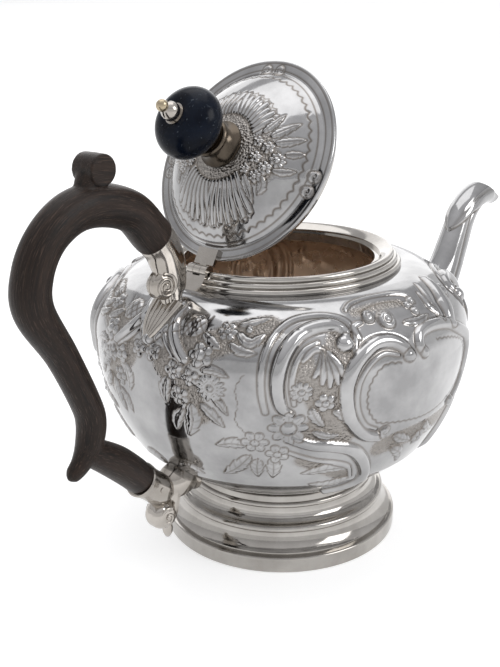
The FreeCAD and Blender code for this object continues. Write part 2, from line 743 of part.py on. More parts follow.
border_under = "lid_seat_gap - ledge_depth"
border_top = border_under + " + lid_edge"
leaf_back = "-hinge_x + knuckle_radius + swing_clearance"
tongue = "lid_knuckle_width / 2"
lid_hinge_leaf = doc.addObject("PartDesign::Body", "lid_hinge_leaf")
leaf_plan = new_sketch(lid_hinge_leaf, "leaf_plan", "XY_Plane", border_top)
outline(leaf_plan, [
    ("-leaf_reach", "-hinge_width / 2"),
    ("-leaf_reach", "hinge_width / 2"),
    (leaf_back, "hinge_width / 2"),
    (leaf_back, tongue),
    ("-hinge_x", tongue),
    ("-hinge_x", "-(%s)" % tongue),
    (leaf_back, "-(%s)" % tongue),
    (leaf_back, "-hinge_width / 2"),
])
pad(lid_hinge_leaf, leaf_plan, "leaf_thickness")
leaf_seat = new_sketch(lid_hinge_leaf, "leaf_seat")
ring(leaf_seat, "-hinge_x", axis_above_rim, "knuckle_radius")
pocket(lid_hinge_leaf, leaf_seat, "hinge_width * 2")
on_lid(lid_hinge_leaf)

# Lid: a raised dome with a flat border, a vent and a ring below that drops into the mouth.

stud_hole = "stud_radius + fit_clearance"
crown_under = "crown_height - lid_wall"
dome_steps = [
    ("lid_radius", border_under),
    ("lid_radius", border_top),
    ("lid_border_radius", border_top),
    ("lid_dome_radius", "lid_dome_height", "crown_radius", "crown_height"),
]
plain_lid = turned("plain_lid", dome_steps + [
    (stud_hole, "crown_height"),
    (stud_hole, crown_under),
    ("crown_radius", crown_under),
    ("lid_dome_radius", "lid_dome_height - lid_wall * 1.1", "lid_border_radius - lid_wall", border_under),
])
vent = new_sketch(plain_lid, "vent", "XY_Plane")
ring(vent, "vent_offset", "0", "vent_radius")
pocket(plain_lid, vent, "crown_height * 3")

# Lid chasing: shell fans of round flutes on both sides, set out by angles from the lid's front.

lid_form = turned("lid_form", dome_steps + [("0", "crown_height"), ("0", border_under)])
lid_core = half_depth(lid_form, "lid_wall")
doc.recompute()


def under_dome(angle, share):
    """Place under the dome, at an angle from the front and a share of the way along a flute."""
    radius = worth(blend("flute_start", "flute_end", share))
    plumb = Part.makeLine(FreeCAD.Vector(0, radius, 0), FreeCAD.Vector(0, radius, worth("crown_height * 2")))
    turn = math.radians(angle)
    height = plumb.common(plain_lid.Shape).BoundBox.ZMin
    return FreeCAD.Vector(radius * math.cos(turn), radius * math.sin(turn), height)


flutes = []
for angle in (16, 28, 40, 52, 64, 138, 150, 162):
    flute = ridge("flute_%d" % angle, [under_dome(angle, share) for share in (0, 0.5, 1)], "lid_wall + flute_rise")
    flutes += [flute, mirrored(flute, "flute_%d_other_side" % angle, (0, 1, 0))]
lid_shell = fuse("lid_shell", plain_lid, *[cut(flute.Name + "_raised", flute, lid_core) for flute in flutes])
on_lid(lid_shell)

bezel_radius = "mouth_radius - bezel_clearance"
lid_bezel = on_lid(turned("lid_bezel", [
    (bezel_radius, border_under),
    (bezel_radius, "-bezel_depth"),
    (bezel_radius + " - bezel_wall", "-bezel_depth"),
    (bezel_radius + " - bezel_wall", border_under),
]))

# Knob: collar, bead, washer, nut and ball threaded on one stud that is headed inside the lid.

collar_top = "crown_height + collar_height"
knob_collar = on_lid(turned("knob_collar", [
    (stud_hole, "crown_height"),
    ("collar_base_radius", "crown_height"),
    ("collar_base_radius", "crown_height + collar_height * 0.12"),
    (blend("collar_base_radius", "collar_waist_radius", 0.75), "crown_height + collar_height * 0.25",
     "collar_waist_radius", "crown_height + collar_height * 0.45"),
    ("collar_ring_radius", "crown_height + collar_height * 0.56",
     "collar_waist_radius", "crown_height + collar_height * 0.67"),
    (blend("collar_waist_radius", "collar_top_radius", 0.3), "crown_height + collar_height * 0.85",
     "collar_top_radius", collar_top),
    (stud_hole, collar_top),
]))

knob_top = collar_top + " + knob_height"
knob = on_lid(turned("knob", [
    (stud_hole, collar_top),
    ("collar_top_radius", collar_top),
    ("knob_radius * 0.89", collar_top + " + knob_height * 0.21",
     "knob_radius", collar_top + " + knob_height * 0.52"),
    ("knob_radius * 0.83", collar_top + " + knob_height * 0.85", "knob_top_radius", knob_top),
    (stud_hole, knob_top),
]))

washer_top = knob_top + " + knob_washer_thickness"
knob_washer = on_lid(turned("knob_washer", [
    (stud_hole, knob_top),
    ("knob_washer_radius", knob_top),
    ("knob_washer_radius", washer_top),
    (stud_hole, washer_top),
]))

nut_top = washer_top + " + nut_height"
knob_nut = turned("knob_nut", [
    (stud_hole, washer_top),
    ("nut_radius", washer_top),
    ("nut_radius", washer_top + " + nut_height * 0.3"),
    (blend("nut_radius", "ball_seat_radius", 0.35), washer_top + " + nut_height * 0.78",
     "ball_seat_radius", nut_top),
    (stud_hole, nut_top),
])
slot = new_sketch(knob_nut, "nut_slot", "YZ_Plane")
outline(slot, [
    ("-nut_slot_width / 2", nut_top + " - nut_slot_depth"),
    ("nut_slot_width / 2", nut_top + " - nut_slot_depth"),
    ("nut_slot_width / 2", nut_top + " + nut_slot_depth"),
    ("-nut_slot_width / 2", nut_top + " + nut_slot_depth"),
])
pocket(knob_nut, slot, "nut_radius * 4")
on_lid(knob_nut)

ball_centre = nut_top + " + sqrt(ball_radius ^ 2 - ball_seat_radius ^ 2)"
stud_top = nut_top + " + stud_engagement"
finial_ball = on_lid(turned("finial_ball", [
    (stud_hole, nut_top),
    ("ball_seat_radius", nut_top),
    ("ball_radius", ball_centre, "0", ball_centre + " + ball_radius"),
    ("0", stud_top),
    (stud_hole, stud_top),
]))

bolt_washer_under = crown_under + " - bolt_washer_thickness"
bolt_washer = on_lid(turned("bolt_washer", [
    (stud_hole, bolt_washer_under),
    ("bolt_washer_radius", bolt_washer_under),
    ("bolt_washer_radius", crown_under),
    (stud_hole, crown_under),
]))
knob_bolt = on_lid(turned("knob_bolt", [
    ("0", bolt_washer_under + " - bolt_head_thickness"),
    ("bolt_head_radius", bolt_washer_under + " - bolt_head_thickness"),
    ("bolt_head_radius", bolt_washer_under),
    ("stud_radius", bolt_washer_under),
    ("stud_radius", stud_top),
    ("0", stud_top),
]))

# Check every object, then write one file for each piece.

pieces = [body_shell, mouth_rim, foot, foot_rim, spout, handle, upper_socket, lower_socket,
          upper_socket_pin, lower_socket_pin, hinge_bracket, *knuckles, hinge_pin, lid_shell, lid_bezel,
          lid_hinge_leaf, lid_hinge_knuckle, knob_collar, knob, knob_washer, knob_nut, finial_ball,
          knob_bolt, bolt_washer]
doc.recompute()
for item in doc.Objects:
    if "Invalid" in item.State or "Error" in item.State:
        raise ValueError("%s did not build: %s" % (item.Name, item.State))
for piece in pieces:
    shape = piece.Shape
    if shape.isNull() or not shape.isValid() or len(shape.Solids) != 1:
        raise ValueError("%s is not one sound solid" % piece.Label)
for piece in pieces:
    piece.Shape.exportStep("parts/%s.step" % piece.Label)
    print("%-20s %10.1f mm3" % (piece.Label, piece.Shape.Volume))
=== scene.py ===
import cmath
import math

import bmesh
import bpy
import numpy as np
from mathutils import Matrix, Vector


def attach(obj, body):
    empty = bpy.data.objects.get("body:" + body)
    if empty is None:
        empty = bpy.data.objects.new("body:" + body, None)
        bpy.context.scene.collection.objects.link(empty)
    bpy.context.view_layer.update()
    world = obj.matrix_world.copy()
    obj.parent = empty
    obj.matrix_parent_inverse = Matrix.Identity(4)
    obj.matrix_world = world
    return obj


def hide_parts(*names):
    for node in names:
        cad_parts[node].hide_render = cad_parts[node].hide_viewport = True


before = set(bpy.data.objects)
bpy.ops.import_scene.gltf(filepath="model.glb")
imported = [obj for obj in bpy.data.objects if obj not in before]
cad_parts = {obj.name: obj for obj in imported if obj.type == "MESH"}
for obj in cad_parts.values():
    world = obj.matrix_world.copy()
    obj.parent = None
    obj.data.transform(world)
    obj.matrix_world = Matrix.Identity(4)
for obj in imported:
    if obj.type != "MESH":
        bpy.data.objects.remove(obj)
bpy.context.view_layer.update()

# Foot band
# The solid silver band that the pot stands on: heavy drawn wire, bent round and soldered under the
# foot. Its corners are worn round and its face carries fine scratches from years of table tops.

MM = 0.001
band_radius, band_inside, band_height, band_round = 46.0, 43.2, 6.2, 0.8


def arc(start, via, end, steps=10):
    """The points after start on the circle through three (radius, height) points."""
    a, b, c = complex(*start), complex(*via), complex(*end)
    w = (c - a) / (b - a)
    middle = a + (b - a) * (w - abs(w) ** 2) / (2j * w.imag)
    whole = cmath.phase((c - middle) / (a - middle))
    part = cmath.phase((b - middle) / (a - middle))
    if part * whole < 0 or abs(part) > abs(whole):
        whole -= math.copysign(2 * math.pi, whole)
    spots = [middle + (a - middle) * cmath.exp(1j * whole * k / steps) for k in range(1, steps + 1)]
    return [(spot.real, spot.imag) for spot in spots]


def skin(rows, columns, close_rows=True):
    """Four-sided faces over a grid of points whose columns run all the way round."""
    row = np.arange(rows if close_rows else rows - 1)[:, None]
    column = np.arange(columns)
    next_row, next_column = (row + 1) % rows, (column + 1) % columns
    corners = [row * columns + column, row * columns + next_column,
               next_row * columns + next_column, next_row * columns + column]
    return np.stack(corners, axis=2).reshape(-1, 4)


def turned_rows(radius, height, turn):
    """Rows of points at radii and heights, turned about the pot's axis."""
    return np.stack([radius * np.cos(turn), radius * np.sin(turn), height + 0 * turn], axis=2)


def spun(outline, columns=360, close=True):
    """Points and faces of an outline of (radius, height) points turned about the pot's axis."""
    outline = np.array(outline)
    turn = np.arange(columns) * 2 * math.pi / columns
    points = turned_rows(outline[:, :1], outline[:, 1:], turn)
    return points.reshape(-1, 3), skin(len(outline), columns, close)


def together(*parts):
    """Several point and face sets as one."""
    points, faces, count = [], [], 0
    for part_points, part_faces in parts:
        points.append(part_points)
        faces.append(part_faces + count)
        count += len(part_points)
    return np.vstack(points), np.vstack(faces)


def weld(mesh):
    """Join points that fall together and turn all faces outwards."""
    loose = bmesh.new()
    loose.from_mesh(mesh)
    bmesh.ops.remove_doubles(loose, verts=loose.verts, dist=1e-7)
    bmesh.ops.recalc_face_normals(loose, faces=loose.faces)
    loose.to_mesh(mesh)
    loose.free()


def make_piece(name, shape, finish, body, *nodes, slot="silver", crease=35, **marks):
    """Turn points in millimetres and faces into one piece that rides on a body of the pot."""
    points, faces = shape
    mesh = bpy.data.meshes.new(name)
    mesh.vertices.add(len(points))
    mesh.vertices.foreach_set("co", (points * MM).astype(np.float32).ravel())
    mesh.loops.add(faces.size)
    mesh.loops.foreach_set("vertex_index", faces.astype(np.int32).ravel())
    mesh.polygons.add(len(faces))
    mesh.polygons.foreach_set("loop_start", np.arange(0, faces.size, 4, dtype=np.int32))
    mesh.update(calc_edges=True)
    for mark, values in marks.items():
        layer = mesh.attributes.new(mark, "FLOAT", "POINT")
        layer.data.foreach_set("value", values.astype(np.float32).ravel())
    weld(mesh)
    mesh.shade_smooth()
    mesh.set_sharp_from_angle(angle=math.radians(crease))
    mesh.materials.append(finish)
    piece = bpy.data.objects.new(name, mesh)
    bpy.context.scene.collection.objects.link(piece)
    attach(piece, body)
    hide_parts(*nodes)


def add(tree, kind, inputs=None, **settings):
    """Add a shader node, with its settings and its inputs set or linked."""
    made = tree.nodes.new("ShaderNode" + kind)
    for key, value in settings.items():
        setattr(made, key, value)
    for key, value in (inputs or {}).items():
        if isinstance(value, bpy.types.NodeSocket):
            tree.links.new(value, made.inputs[key])
        else:
            made.inputs[key].default_value = value
    return made


def new_finish(name):
    """A new material with its node tree and its shader."""
    finish = bpy.data.materials.new(name)
    finish.use_nodes = True
    return finish, finish.node_tree, finish.node_tree.nodes["Principled BSDF"]


def tinted(tree, share, under, over):
    """Lay one colour over another by a share."""
    return add(tree, "Mix", {"Factor": share, 6: under, 7: over}, data_type="RGBA").outputs[2]


# dark tone for the hollows: tarnish there, and painted shade
TARNISH_AND_SHADE_TONE = (0.10, 0.078, 0.058, 1)
# tone for the punched grounds: tarnish there, and painted shade
GROUND_TARNISH_AND_SHADE_TONE = (0.24, 0.21, 0.18, 1)
# the tea stain inside, in a pale tone that paints in the light the inside lacks
TEA_STAIN_AND_LIGHT_TONE = (0.80, 0.66, 0.54, 1)


def silver(name, bright, dull, smooth, rough, streak, wave):
    """Old polished silver: clouded tone, tarnish with painted shade in the hollows and on the punched
    grounds, a tea stain in a pale tone that paints in light, and polishing lines.
    """
    finish, tree, shader = new_finish(name)
    spot = add(tree, "TexCoord").outputs["Object"]
    cloud = add(tree, "TexNoise", {"Vector": spot, "Scale": 38.0, "Detail": 5.0, "Roughness": 0.6})
    shade = add(tree, "MapRange", {"Value": cloud.outputs["Fac"], "From Min": 0.35, "From Max": 0.65})
    tone = tinted(tree, shade.outputs["Result"], dull, bright)
    # darken the hollows: tarnish there, and painted shade
    soot = add(tree, "Attribute", attribute_name="soot").outputs["Fac"]
    tarnished_and_shaded = tinted(tree, soot, tone, TARNISH_AND_SHADE_TONE)
    # darken the punched grounds: tarnish there, and painted shade
    matting = add(tree, "Attribute", attribute_name="matting").outputs["Fac"]
    punched = add(tree, "Math", {0: matting, 1: 0.62}, operation="MULTIPLY").outputs["Value"]
    ground = tinted(tree, punched, tarnished_and_shaded, GROUND_TARNISH_AND_SHADE_TONE)
    # the tea stain inside: a real stain, in a pale tone that paints in light
    stain = add(tree, "Attribute", attribute_name="stain").outputs["Fac"]
    tree.links.new(tinted(tree, stain, ground, TEA_STAIN_AND_LIGHT_TONE), shader.inputs["Base Color"])
    metal = add(tree, "MapRange", {"Value": stain, "To Min": 1.0, "To Max": 0.8})
    tree.links.new(metal.outputs["Result"], shader.inputs["Metallic"])

    smear = add(tree, "TexNoise", {"Vector": spot, "Scale": 210.0, "Detail": 4.0})
    gloss = add(tree, "MapRange", {"Value": smear.outputs["Fac"], "From Min": 0.3, "From Max": 0.7,
                                   "To Min": smooth, "To Max": rough})
    worn = add(tree, "Math", {0: soot, 1: 0.22, 2: gloss.outputs["Result"]}, operation="MULTIPLY_ADD")
    grainy = add(tree, "Math", {0: matting, 1: 0.2, 2: worn.outputs["Value"]}, operation="MULTIPLY_ADD")
    blurred = add(tree, "Math", {0: stain, 1: 0.2, 2: grainy.outputs["Value"]}, operation="MULTIPLY_ADD")
    tree.links.new(blurred.outputs["Value"], shader.inputs["Roughness"])

    brushed = add(tree, "Mapping", {"Vector": spot, "Scale": streak})
    lines = add(tree, "TexNoise", {"Vector": brushed.outputs["Vector"], "Scale": 1.0, "Detail": 3.0})
    scratched = add(tree, "Bump", {"Height": lines.outputs["Fac"], "Strength": 0.06, "Distance": 0.0001})
    hammer = add(tree, "TexNoise", {"Vector": spot, "Scale": 62.0, "Detail": 1.0})
    planished = add(tree, "Bump", {"Height": hammer.outputs["Fac"], "Strength": wave, "Distance": 0.001,
                                   "Normal": scratched.outputs["Normal"]})
    dots = add(tree, "TexVoronoi", {"Vector": spot, "Scale": 1150.0})
    punch = add(tree, "Bump", {"Height": dots.outputs["Distance"], "Strength": matting, "Distance": 0.0004,
                               "Normal": planished.outputs["Normal"]})
    tree.links.new(punch.outputs["Normal"], shader.inputs["Normal"])
    return finish


turned_silver = silver("turned_silver", (0.48, 0.46, 0.435, 1), (0.34, 0.322, 0.30, 1), smooth=0.06,
                       rough=0.16, streak=(60, 60, 1600), wave=0.05)
foot_band = [(band_inside, 0.0), (band_radius - band_round, 0.0)]
foot_band += arc(foot_band[-1], (band_radius - 0.24, 0.24), (band_radius, band_round), 5)
foot_band += [(band_radius, band_height / 2), (band_radius, band_height - band_round)]
foot_band += arc(foot_band[-1], (band_radius - 0.24, band_height - 0.24),
                 (band_radius - band_round, band_height), 5)
foot_band += [(band_inside, band_height)]
make_piece("foot_band", spun(foot_band), turned_silver, "pot", "foot_rim")

# Foot
# A spun pedestal of sheet silver, open below. It is soldered to the band at its flared edge and to the
# body at its narrow neck, and has one bold bead half way and a small reed under the body.

foot_turning = [(44.2, 6.2), (44.2, 7.4)]
foot_turning += arc(foot_turning[-1], (41.4, 9.96), (40.2, 13.6), 16)
foot_turning += arc((40.2, 13.6), (41.3, 15.0), (40.2, 16.3), 12)
foot_turning += [(39.2, 16.5)]
foot_turning += arc(foot_turning[-1], (36.9, 17.9), (36.0, 20.6), 16)
foot_turning += [(36.0, 21.7)]
foot_turning += arc(foot_turning[-1], (37.1, 22.8), (36.0, 23.9), 10)
foot_turning += [(36.0, 25.2)] + arc((36.0, 25.2), (36.2, 26.6), (37.2, 27.6), 6)
foot_turning += [(34.6, 27.5), (34.6, 16.6), (38.8, 12.6), (42.8, 7.4), (42.8, 6.2)]
make_piece("pedestal_foot", spun(foot_turning), turned_silver, "pot", "foot")

# Body
# One bellied shell raised from a flat sheet, then chased from both sides: scrolls, flowers, leaves and
# two plain shields, with punched grounds between. Tarnish in the hollows and grounds is darkened further
# as painted shade; inside it is tea brown, in a pale tone that paints in light.

body_wall = 1.2
plain_height, plain_fade = 106.6, 1.5
body_points = [(36.6, 27.5)]
body_points += arc((36.6, 27.5), (47.47, 33.88), (57.5, 42.0), 60)
body_points += arc((57.5, 42.0), (66.39, 60.04), (70.2, 83.0), 80)
body_points += arc((70.2, 83.0), (68.68, 92.74), (62.6, 99.8), 40)
body_points += arc((62.6, 99.8), (54.61, 105.48), (45.6, 106.9), 40)


def run_along(path):
    """How far along a line each of its points lies."""
    return np.concatenate([[0], np.cumsum(np.hypot(*np.diff(path, axis=0).T))])


def even_rows(outline, count):
    """Even steps along an outline: how far along, radius, height, and the way out of the sheet."""
    outline = np.array(outline)
    run = run_along(outline)
    along = np.linspace(0, run[-1], count)
    radius, height = np.interp(along, run, outline[:, 0]), np.interp(along, run, outline[:, 1])
    slope = np.stack([np.gradient(radius), np.gradient(height)])
    slope /= np.hypot(*slope)
    return along, radius, height, slope[1], -slope[0]


body_along, body_radius, body_height, body_out, body_up = even_rows(body_points, 290)


def eased(points, steps=9):
    """A smooth line through given points."""
    p = np.array(points, float)
    p = np.vstack([2 * p[0] - p[1], p, 2 * p[-1] - p[-2]])
    t = np.linspace(0, 1, steps, endpoint=False)[:, None]
    runs = [0.5 * (2 * b + (c - a) * t + (2 * a - 5 * b + 4 * c - d) * t ** 2
                   + (3 * b - a - 3 * c + d) * t ** 3)
            for a, b, c, d in zip(p, p[1:], p[2:], p[3:])]
    return np.vstack(runs + [p[-2:-1]])


class ChasedSheet:
    """The relief, the tarnish with painted shade, and the punch marks on a sheet, at places in millimetres
    across and along it.
    """

    def __init__(self, across, along):
        self.across = across
        self.along = along
        self.relief = np.zeros(across.shape)
        self.soot = np.zeros(across.shape)
        self.matting = np.zeros(across.shape)

    def near(self, path, reach):
        """The places near a line, how far off it they lie and how far along it."""
        low, high = path.min(axis=0) - reach, path.max(axis=0) + reach
        spot = ((self.across > low[0]) & (self.across < high[0])
                & (self.along > low[1]) & (self.along < high[1]))
        at = np.stack([self.across[spot], self.along[spot]], axis=1)[:, None, :]
        step = np.diff(path, axis=0)
        gap = at - path[:-1]
        share = np.clip((gap * step).sum(axis=2) / (step ** 2).sum(axis=1), 0, 1)
        off = gap - share[:, :, None] * step
        pick = (off ** 2).sum(axis=2).argmin(axis=1)
        row = np.arange(len(pick))
        share, off = share[row, pick], off[row, pick]
        return spot, np.hypot(off[:, 0], off[:, 1]), (pick + share) / (len(path) - 1)

    def around(self, at, reach):
        """The places round a point, how far from it they lie and in which direction."""
        du, dv = self.across - at[0], self.along - at[1]
        far = np.hypot(du, dv)
        spot = far < reach
        return spot, far[spot], np.arctan2(dv, du)[spot]

    def foot_line(self, off, edge):
        """The dark line round the foot of a raised shape: tarnish gathered there, and painted shade."""
        return 0.75 * np.exp(-((off - edge - 0.25) / 0.3) ** 2)

    def lay(self, spot, rise, tarnish_and_shade_mark, inside):
        """Raise a shape over what is there, with a dark line sunk round its foot."""
        sunk = self.relief[spot] - 0.22 * tarnish_and_shade_mark
        self.relief[spot] = np.where(inside, np.maximum(self.relief[spot], rise), sunk)
        self.soot[spot] = np.where(inside, tarnish_and_shade_mark, np.maximum(self.soot[spot], tarnish_and_shade_mark))
        self.matting[spot] = np.where(inside, 0, self.matting[spot])

    def ridge(self, points, half, rise, ends=0.7):
        """A round ridge, thinner at its ends."""
        spot, off, along = self.near(eased(points), half + 1.5)
        wide = half * (ends + (1 - ends) * np.sin(np.pi * np.clip(along, 0.03, 0.97)) ** 0.6)
        crest = np.sqrt(np.clip(1 - (off / wide) ** 2, 0, 1))
        self.lay(spot, rise * crest * wide / half, self.foot_line(off, wide), off < wide + 0.1)

    def bead(self, points, radius, rise):
        """A round boss."""
        spot, far, _ = self.around(points[0], radius + 1.5)
        dome = np.sqrt(np.clip(1 - (far / radius) ** 2, 0, 1))
        self.lay(spot, rise * dome, self.foot_line(far, radius), far < radius + 0.1)

    def curl(self, points, radius, rise, hand=1, turns=1.6):
        """A rolled volute, seen from its face."""
        spot, far, angle = self.around(points[0], radius + 1.5)
        v = far / radius
        roll = 0.5 + 0.5 * np.cos(2 * math.pi * turns * v - hand * angle)
        eye = np.clip(1 - (v / 0.3) ** 4, 0, 1)
        crest = np.sqrt(np.clip(1.05 - v ** 4, 0, 1)) * (0.45 + 0.55 * np.maximum(roll, eye))
        # the dark groove of the roll: tarnish and painted shade
        groove = 0.6 * (1 - roll) ** 4 * (1 - eye) * (v < 1)
        self.lay(spot, rise * crest, self.foot_line(far, radius) + groove, far < radius + 0.1)

    def flower(self, points, radius, rise, petals=6, eye=0.3):
        """Flat petals round a domed eye, each with a fine dark edge."""
        spot, far, angle = self.around(points[0], radius + 1.5)
        lobe = np.abs(np.cos(petals / 2 * angle))
        edge = radius * (0.62 + 0.38 * lobe ** 0.7)
        petal = np.clip(1.02 - (far / edge) ** 4, 0, 1) ** 0.7
        petal *= (0.3 + 0.7 * lobe ** 0.7) * (0.6 + 0.4 * far / radius)
        dome = 1.4 * np.sqrt(np.clip(1 - (far / (eye * radius)) ** 2, 0, 1))
        # dark petal edges, eye ring and gaps between petals: tarnish and painted shade
        tarnish_and_shade_mark = 0.8 * np.exp(-((far - edge - 0.15) / 0.28) ** 2)
        tarnish_and_shade_mark += 0.7 * np.exp(-((far - eye * radius - 0.2) / 0.22) ** 2)
        tarnish_and_shade_mark += 0.7 * np.clip(1 - lobe * far / 0.6, 0, 1) * (far > eye * radius) * (far < edge)
        tarnish_and_shade_mark += 0.35 * np.clip((lobe - 0.985) / 0.015, 0, 1) * (far > eye * radius + 0.6) * (far < 0.8 * edge)
        self.lay(spot, rise * np.maximum(petal, dome), np.clip(tarnish_and_shade_mark, 0, 0.85), far < edge + 0.1)

    def leaf(self, points, half, rise, teeth=3):
        """A flat leaf with a toothed dark edge, a middle vein and fine side veins."""
        spot, off, along = self.near(eased(points), half + 1.5)
        along = np.clip(along, 0, 1)
        edge = half * np.sin(np.pi * along ** 0.8) ** 0.75 * (1 - 0.28 * (along * teeth % 1)) + 0.15
        vein = np.exp(-(off / 0.24) ** 2)
        slant = (along * teeth * 1.6 + 0.6 * off / half) % 1
        rib = np.exp(-((slant - 0.5) / 0.12) ** 2) * (off > 0.3) * (off < edge)
        # dark edge, middle vein and side veins: tarnish and painted shade
        tarnish_and_shade_mark = 0.8 * np.exp(-((off - edge - 0.12) / 0.26) ** 2)
        tarnish_and_shade_mark += (0.6 * vein * (along < 0.9) + 0.28 * rib) * (off < edge)
        swell = np.clip(1.05 - 0.75 * (off / edge) ** 2 - 0.5 * vein - 0.2 * rib, 0, 1)
        self.lay(spot, rise * swell, np.clip(tarnish_and_shade_mark, 0, 0.85), off < edge)

    def line(self, points, width=0.26, depth=0.12):
        """A line cut with the graver."""
        spot, off, _ = self.near(eased(points, 5), width * 4)
        cut = np.exp(-(off / width) ** 2)
        self.relief[spot] -= depth * cut
        # the cut is darkened: tarnish in it, and painted shade
        self.soot[spot] = np.maximum(self.soot[spot], 0.85 * cut)

    def waved(self, points, pace=2.6, swing=0.55, width=0.26):
        """A cut line that runs in small scallops along a smooth one."""
        path = eased(points, 24)
        run = run_along(path)
        ahead = np.gradient(path, axis=0)
        ahead /= np.hypot(*ahead.T)[:, None]
        shift = swing * np.abs(np.sin(np.pi * run / pace))[:, None]
        self.line((path + shift * np.stack([-ahead[:, 1], ahead[:, 0]], axis=1))[::2], width)

    def punch(self, points, half):
        """A ground sunk a little and matted with small punch marks."""
        spot, off, _ = self.near(eased(points), half + 1)
        share = np.clip((half - off) / 1.5, 0, 1)
        self.matting[spot] = np.maximum(self.matting[spot], share)
        self.relief[spot] -= 0.15 * share

    def soften(self):
        """Round the relief a little, as the punches and years of polishing do."""
        for axis in (0, 1):
            wide = np.pad(self.relief, [(1, 1) if k == axis else (0, 0) for k in (0, 1)], mode="edge")
            parts = [np.take(wide, range(k, k + self.relief.shape[axis]), axis=axis) for k in range(3)]
            self.relief = 0.22 * parts[0] + 0.56 * parts[1] + 0.22 * parts[2]
        self.soot = np.clip(self.soot, 0, 1)


# The chasing is alike on both sides of the pot. It is set out for one side, by the angle from the spout
# and the height, and most of what lies behind the shield comes again in front of it, turned about.
STEPS_PER_DEGREE = 3
MM_PER_DEGREE = 1.15
side_angle = np.arange(0, 180 * STEPS_PER_DEGREE + 1) / STEPS_PER_DEGREE
across, along = np.meshgrid(side_angle * MM_PER_DEGREE, body_along)
chasing = ChasedSheet(across, along)


def on_body(spots):
    """Places given as (angle from the spout, height) on the sheet of the body."""
    return [(angle * MM_PER_DEGREE, np.interp(height, body_height, body_along)) for angle, height in spots]


def chaser(tool):
    """A tool that works a shape into the body, and at will once more in front of the shield."""
    def work(spots, *sizes, front=False):
        tool(on_body(spots), *sizes)
        if front:
            tool(on_body([(180 - angle, height) for angle, height in spots]), *sizes)
    return work


punch, ridge, bead, curl = map(chaser, (chasing.punch, chasing.ridge, chasing.bead, chasing.curl))
flower, leaf, line, waved = map(chaser, (chasing.flower, chasing.leaf, chasing.line, chasing.waved))

# grounds
punch([(122, 97), (125, 90), (127, 82), (125, 72), (122, 66)], 6.0, front=True)
punch([(133, 92), (132.5, 86), (130, 78)], 4.0, front=True)
punch([(143, 101), (152, 99), (160, 96), (168, 93), (172, 88)], 6.0)
punch([(108, 56), (100, 57), (90, 57), (80, 57), (72, 56)], 5.0)
punch([(115, 103.5), (106, 104), (96, 103.5)], 2.6)
punch([(133, 55), (124, 49), (118, 45)], 3.6, front=True)
punch([(128, 72), (131, 68), (128, 65)], 4.0, front=True)
punch([(166, 84), (164, 78), (162, 72)], 4.4)
# great scroll with its reeds and the leaf that hangs inside it
ridge([(127.4, 95.4), (130.6, 95.6), (133.4, 92.6)], 1.3, 0.8, 0.4, front=True)
ridge([(127.5, 95.5), (128.6, 91), (130.6, 87.4)], 1.1, 0.8, 0.4, front=True)
ridge([(127.3, 95), (127.8, 89.5), (128.5, 84.8)], 1.1, 0.8, 0.4, front=True)
ridge([(127, 94.8), (126.3, 89), (126.4, 83.6)], 1.1, 0.8, 0.4, front=True)
ridge([(126.7, 94.6), (125, 89.5), (124.2, 84.4)], 1.1, 0.8, 0.4, front=True)
ridge([(126.4, 94.6), (123.8, 90.5), (122.7, 86.6)], 1.0, 0.7, 0.4, front=True)
ridge([(118.8, 93.6), (117.3, 99.2), (119.9, 102.4), (126.4, 103.8), (134.6, 103.3), (140.2, 100.5),
       (143.3, 95.8), (144.5, 89.1), (144.5, 81.5), (143.6, 75.2)], 1.1, 0.8, front=True)
ridge([(129, 97.4), (132.8, 95.6), (135.4, 91.6), (136.6, 85), (136, 78)], 0.8, 0.6, front=True)
ridge([(120.6, 96.3), (120.4, 99.3), (123.3, 101.1), (128.9, 101), (134.1, 99.2), (137.9, 95.4),
       (139.9, 89.9), (140.4, 83.4), (139.3, 77.1), (137, 74.6)], 2.5, 2.2, 0.4, front=True)
bead([(121.3, 96.4)], 2.9, 2.2, front=True)
flower([(134, 82.4)], 3.6, 0.85, 9, 0.24, front=True)
flower([(127.6, 78)], 3.4, 1.0, 5, 0.3, front=True)
leaf([(125.5, 75), (122, 72), (120.5, 68)], 1.8, 0.8, front=True)
leaf([(131.5, 76.5), (130, 72.5), (127.6, 69)], 1.9, 0.8, 4, front=True)
leaf([(123.4, 80), (121.6, 77), (122.4, 73.5)], 1.4, 0.7, front=True)
leaf([(131, 67.6), (127, 65.2), (123, 65.4)], 1.7, 0.8, 4, front=True)
# shield
ridge([(101.6, 89.1), (103.8, 92.7), (107.5, 95), (112.4, 95.1), (116.9, 92.6), (120.2, 88.4),
       (121.8, 81.9), (121.1, 74.5), (119, 68.3), (114.8, 63.3), (110.3, 61.5)], 2.3, 1.9, 0.8)
ridge([(105.6, 90.5), (110.4, 91.8), (114.6, 89.6), (117.6, 85.2), (118.7, 79.4), (118, 73.2),
       (115.4, 67.6), (111.6, 64.8)], 0.7, 0.5)
bead([(102.4, 89.6)], 2.0, 1.9)
curl([(108.6, 63.2)], 2.2, 1.2, -1)
ridge([(96, 88.5), (97.6, 91.9), (95.8, 94.9), (90.4, 95.8), (82.7, 94.4), (76, 90.5), (68, 85),
       (63.5, 78), (63.5, 70), (68, 64), (74, 61.5)], 2.1, 1.6, 0.75)
bead([(96.2, 88.9)], 1.7, 1.6)
bead([(74.5, 62)], 2.1, 1.6)
waved([(105, 87.5), (110, 88), (113.4, 85), (115.2, 79.6), (114.8, 73.6), (111.6, 68), (107.5, 66.5),
       (100, 65), (93, 64), (84, 64.5), (75, 67), (70, 72), (69.5, 79), (74, 85), (82, 89), (90, 91)])
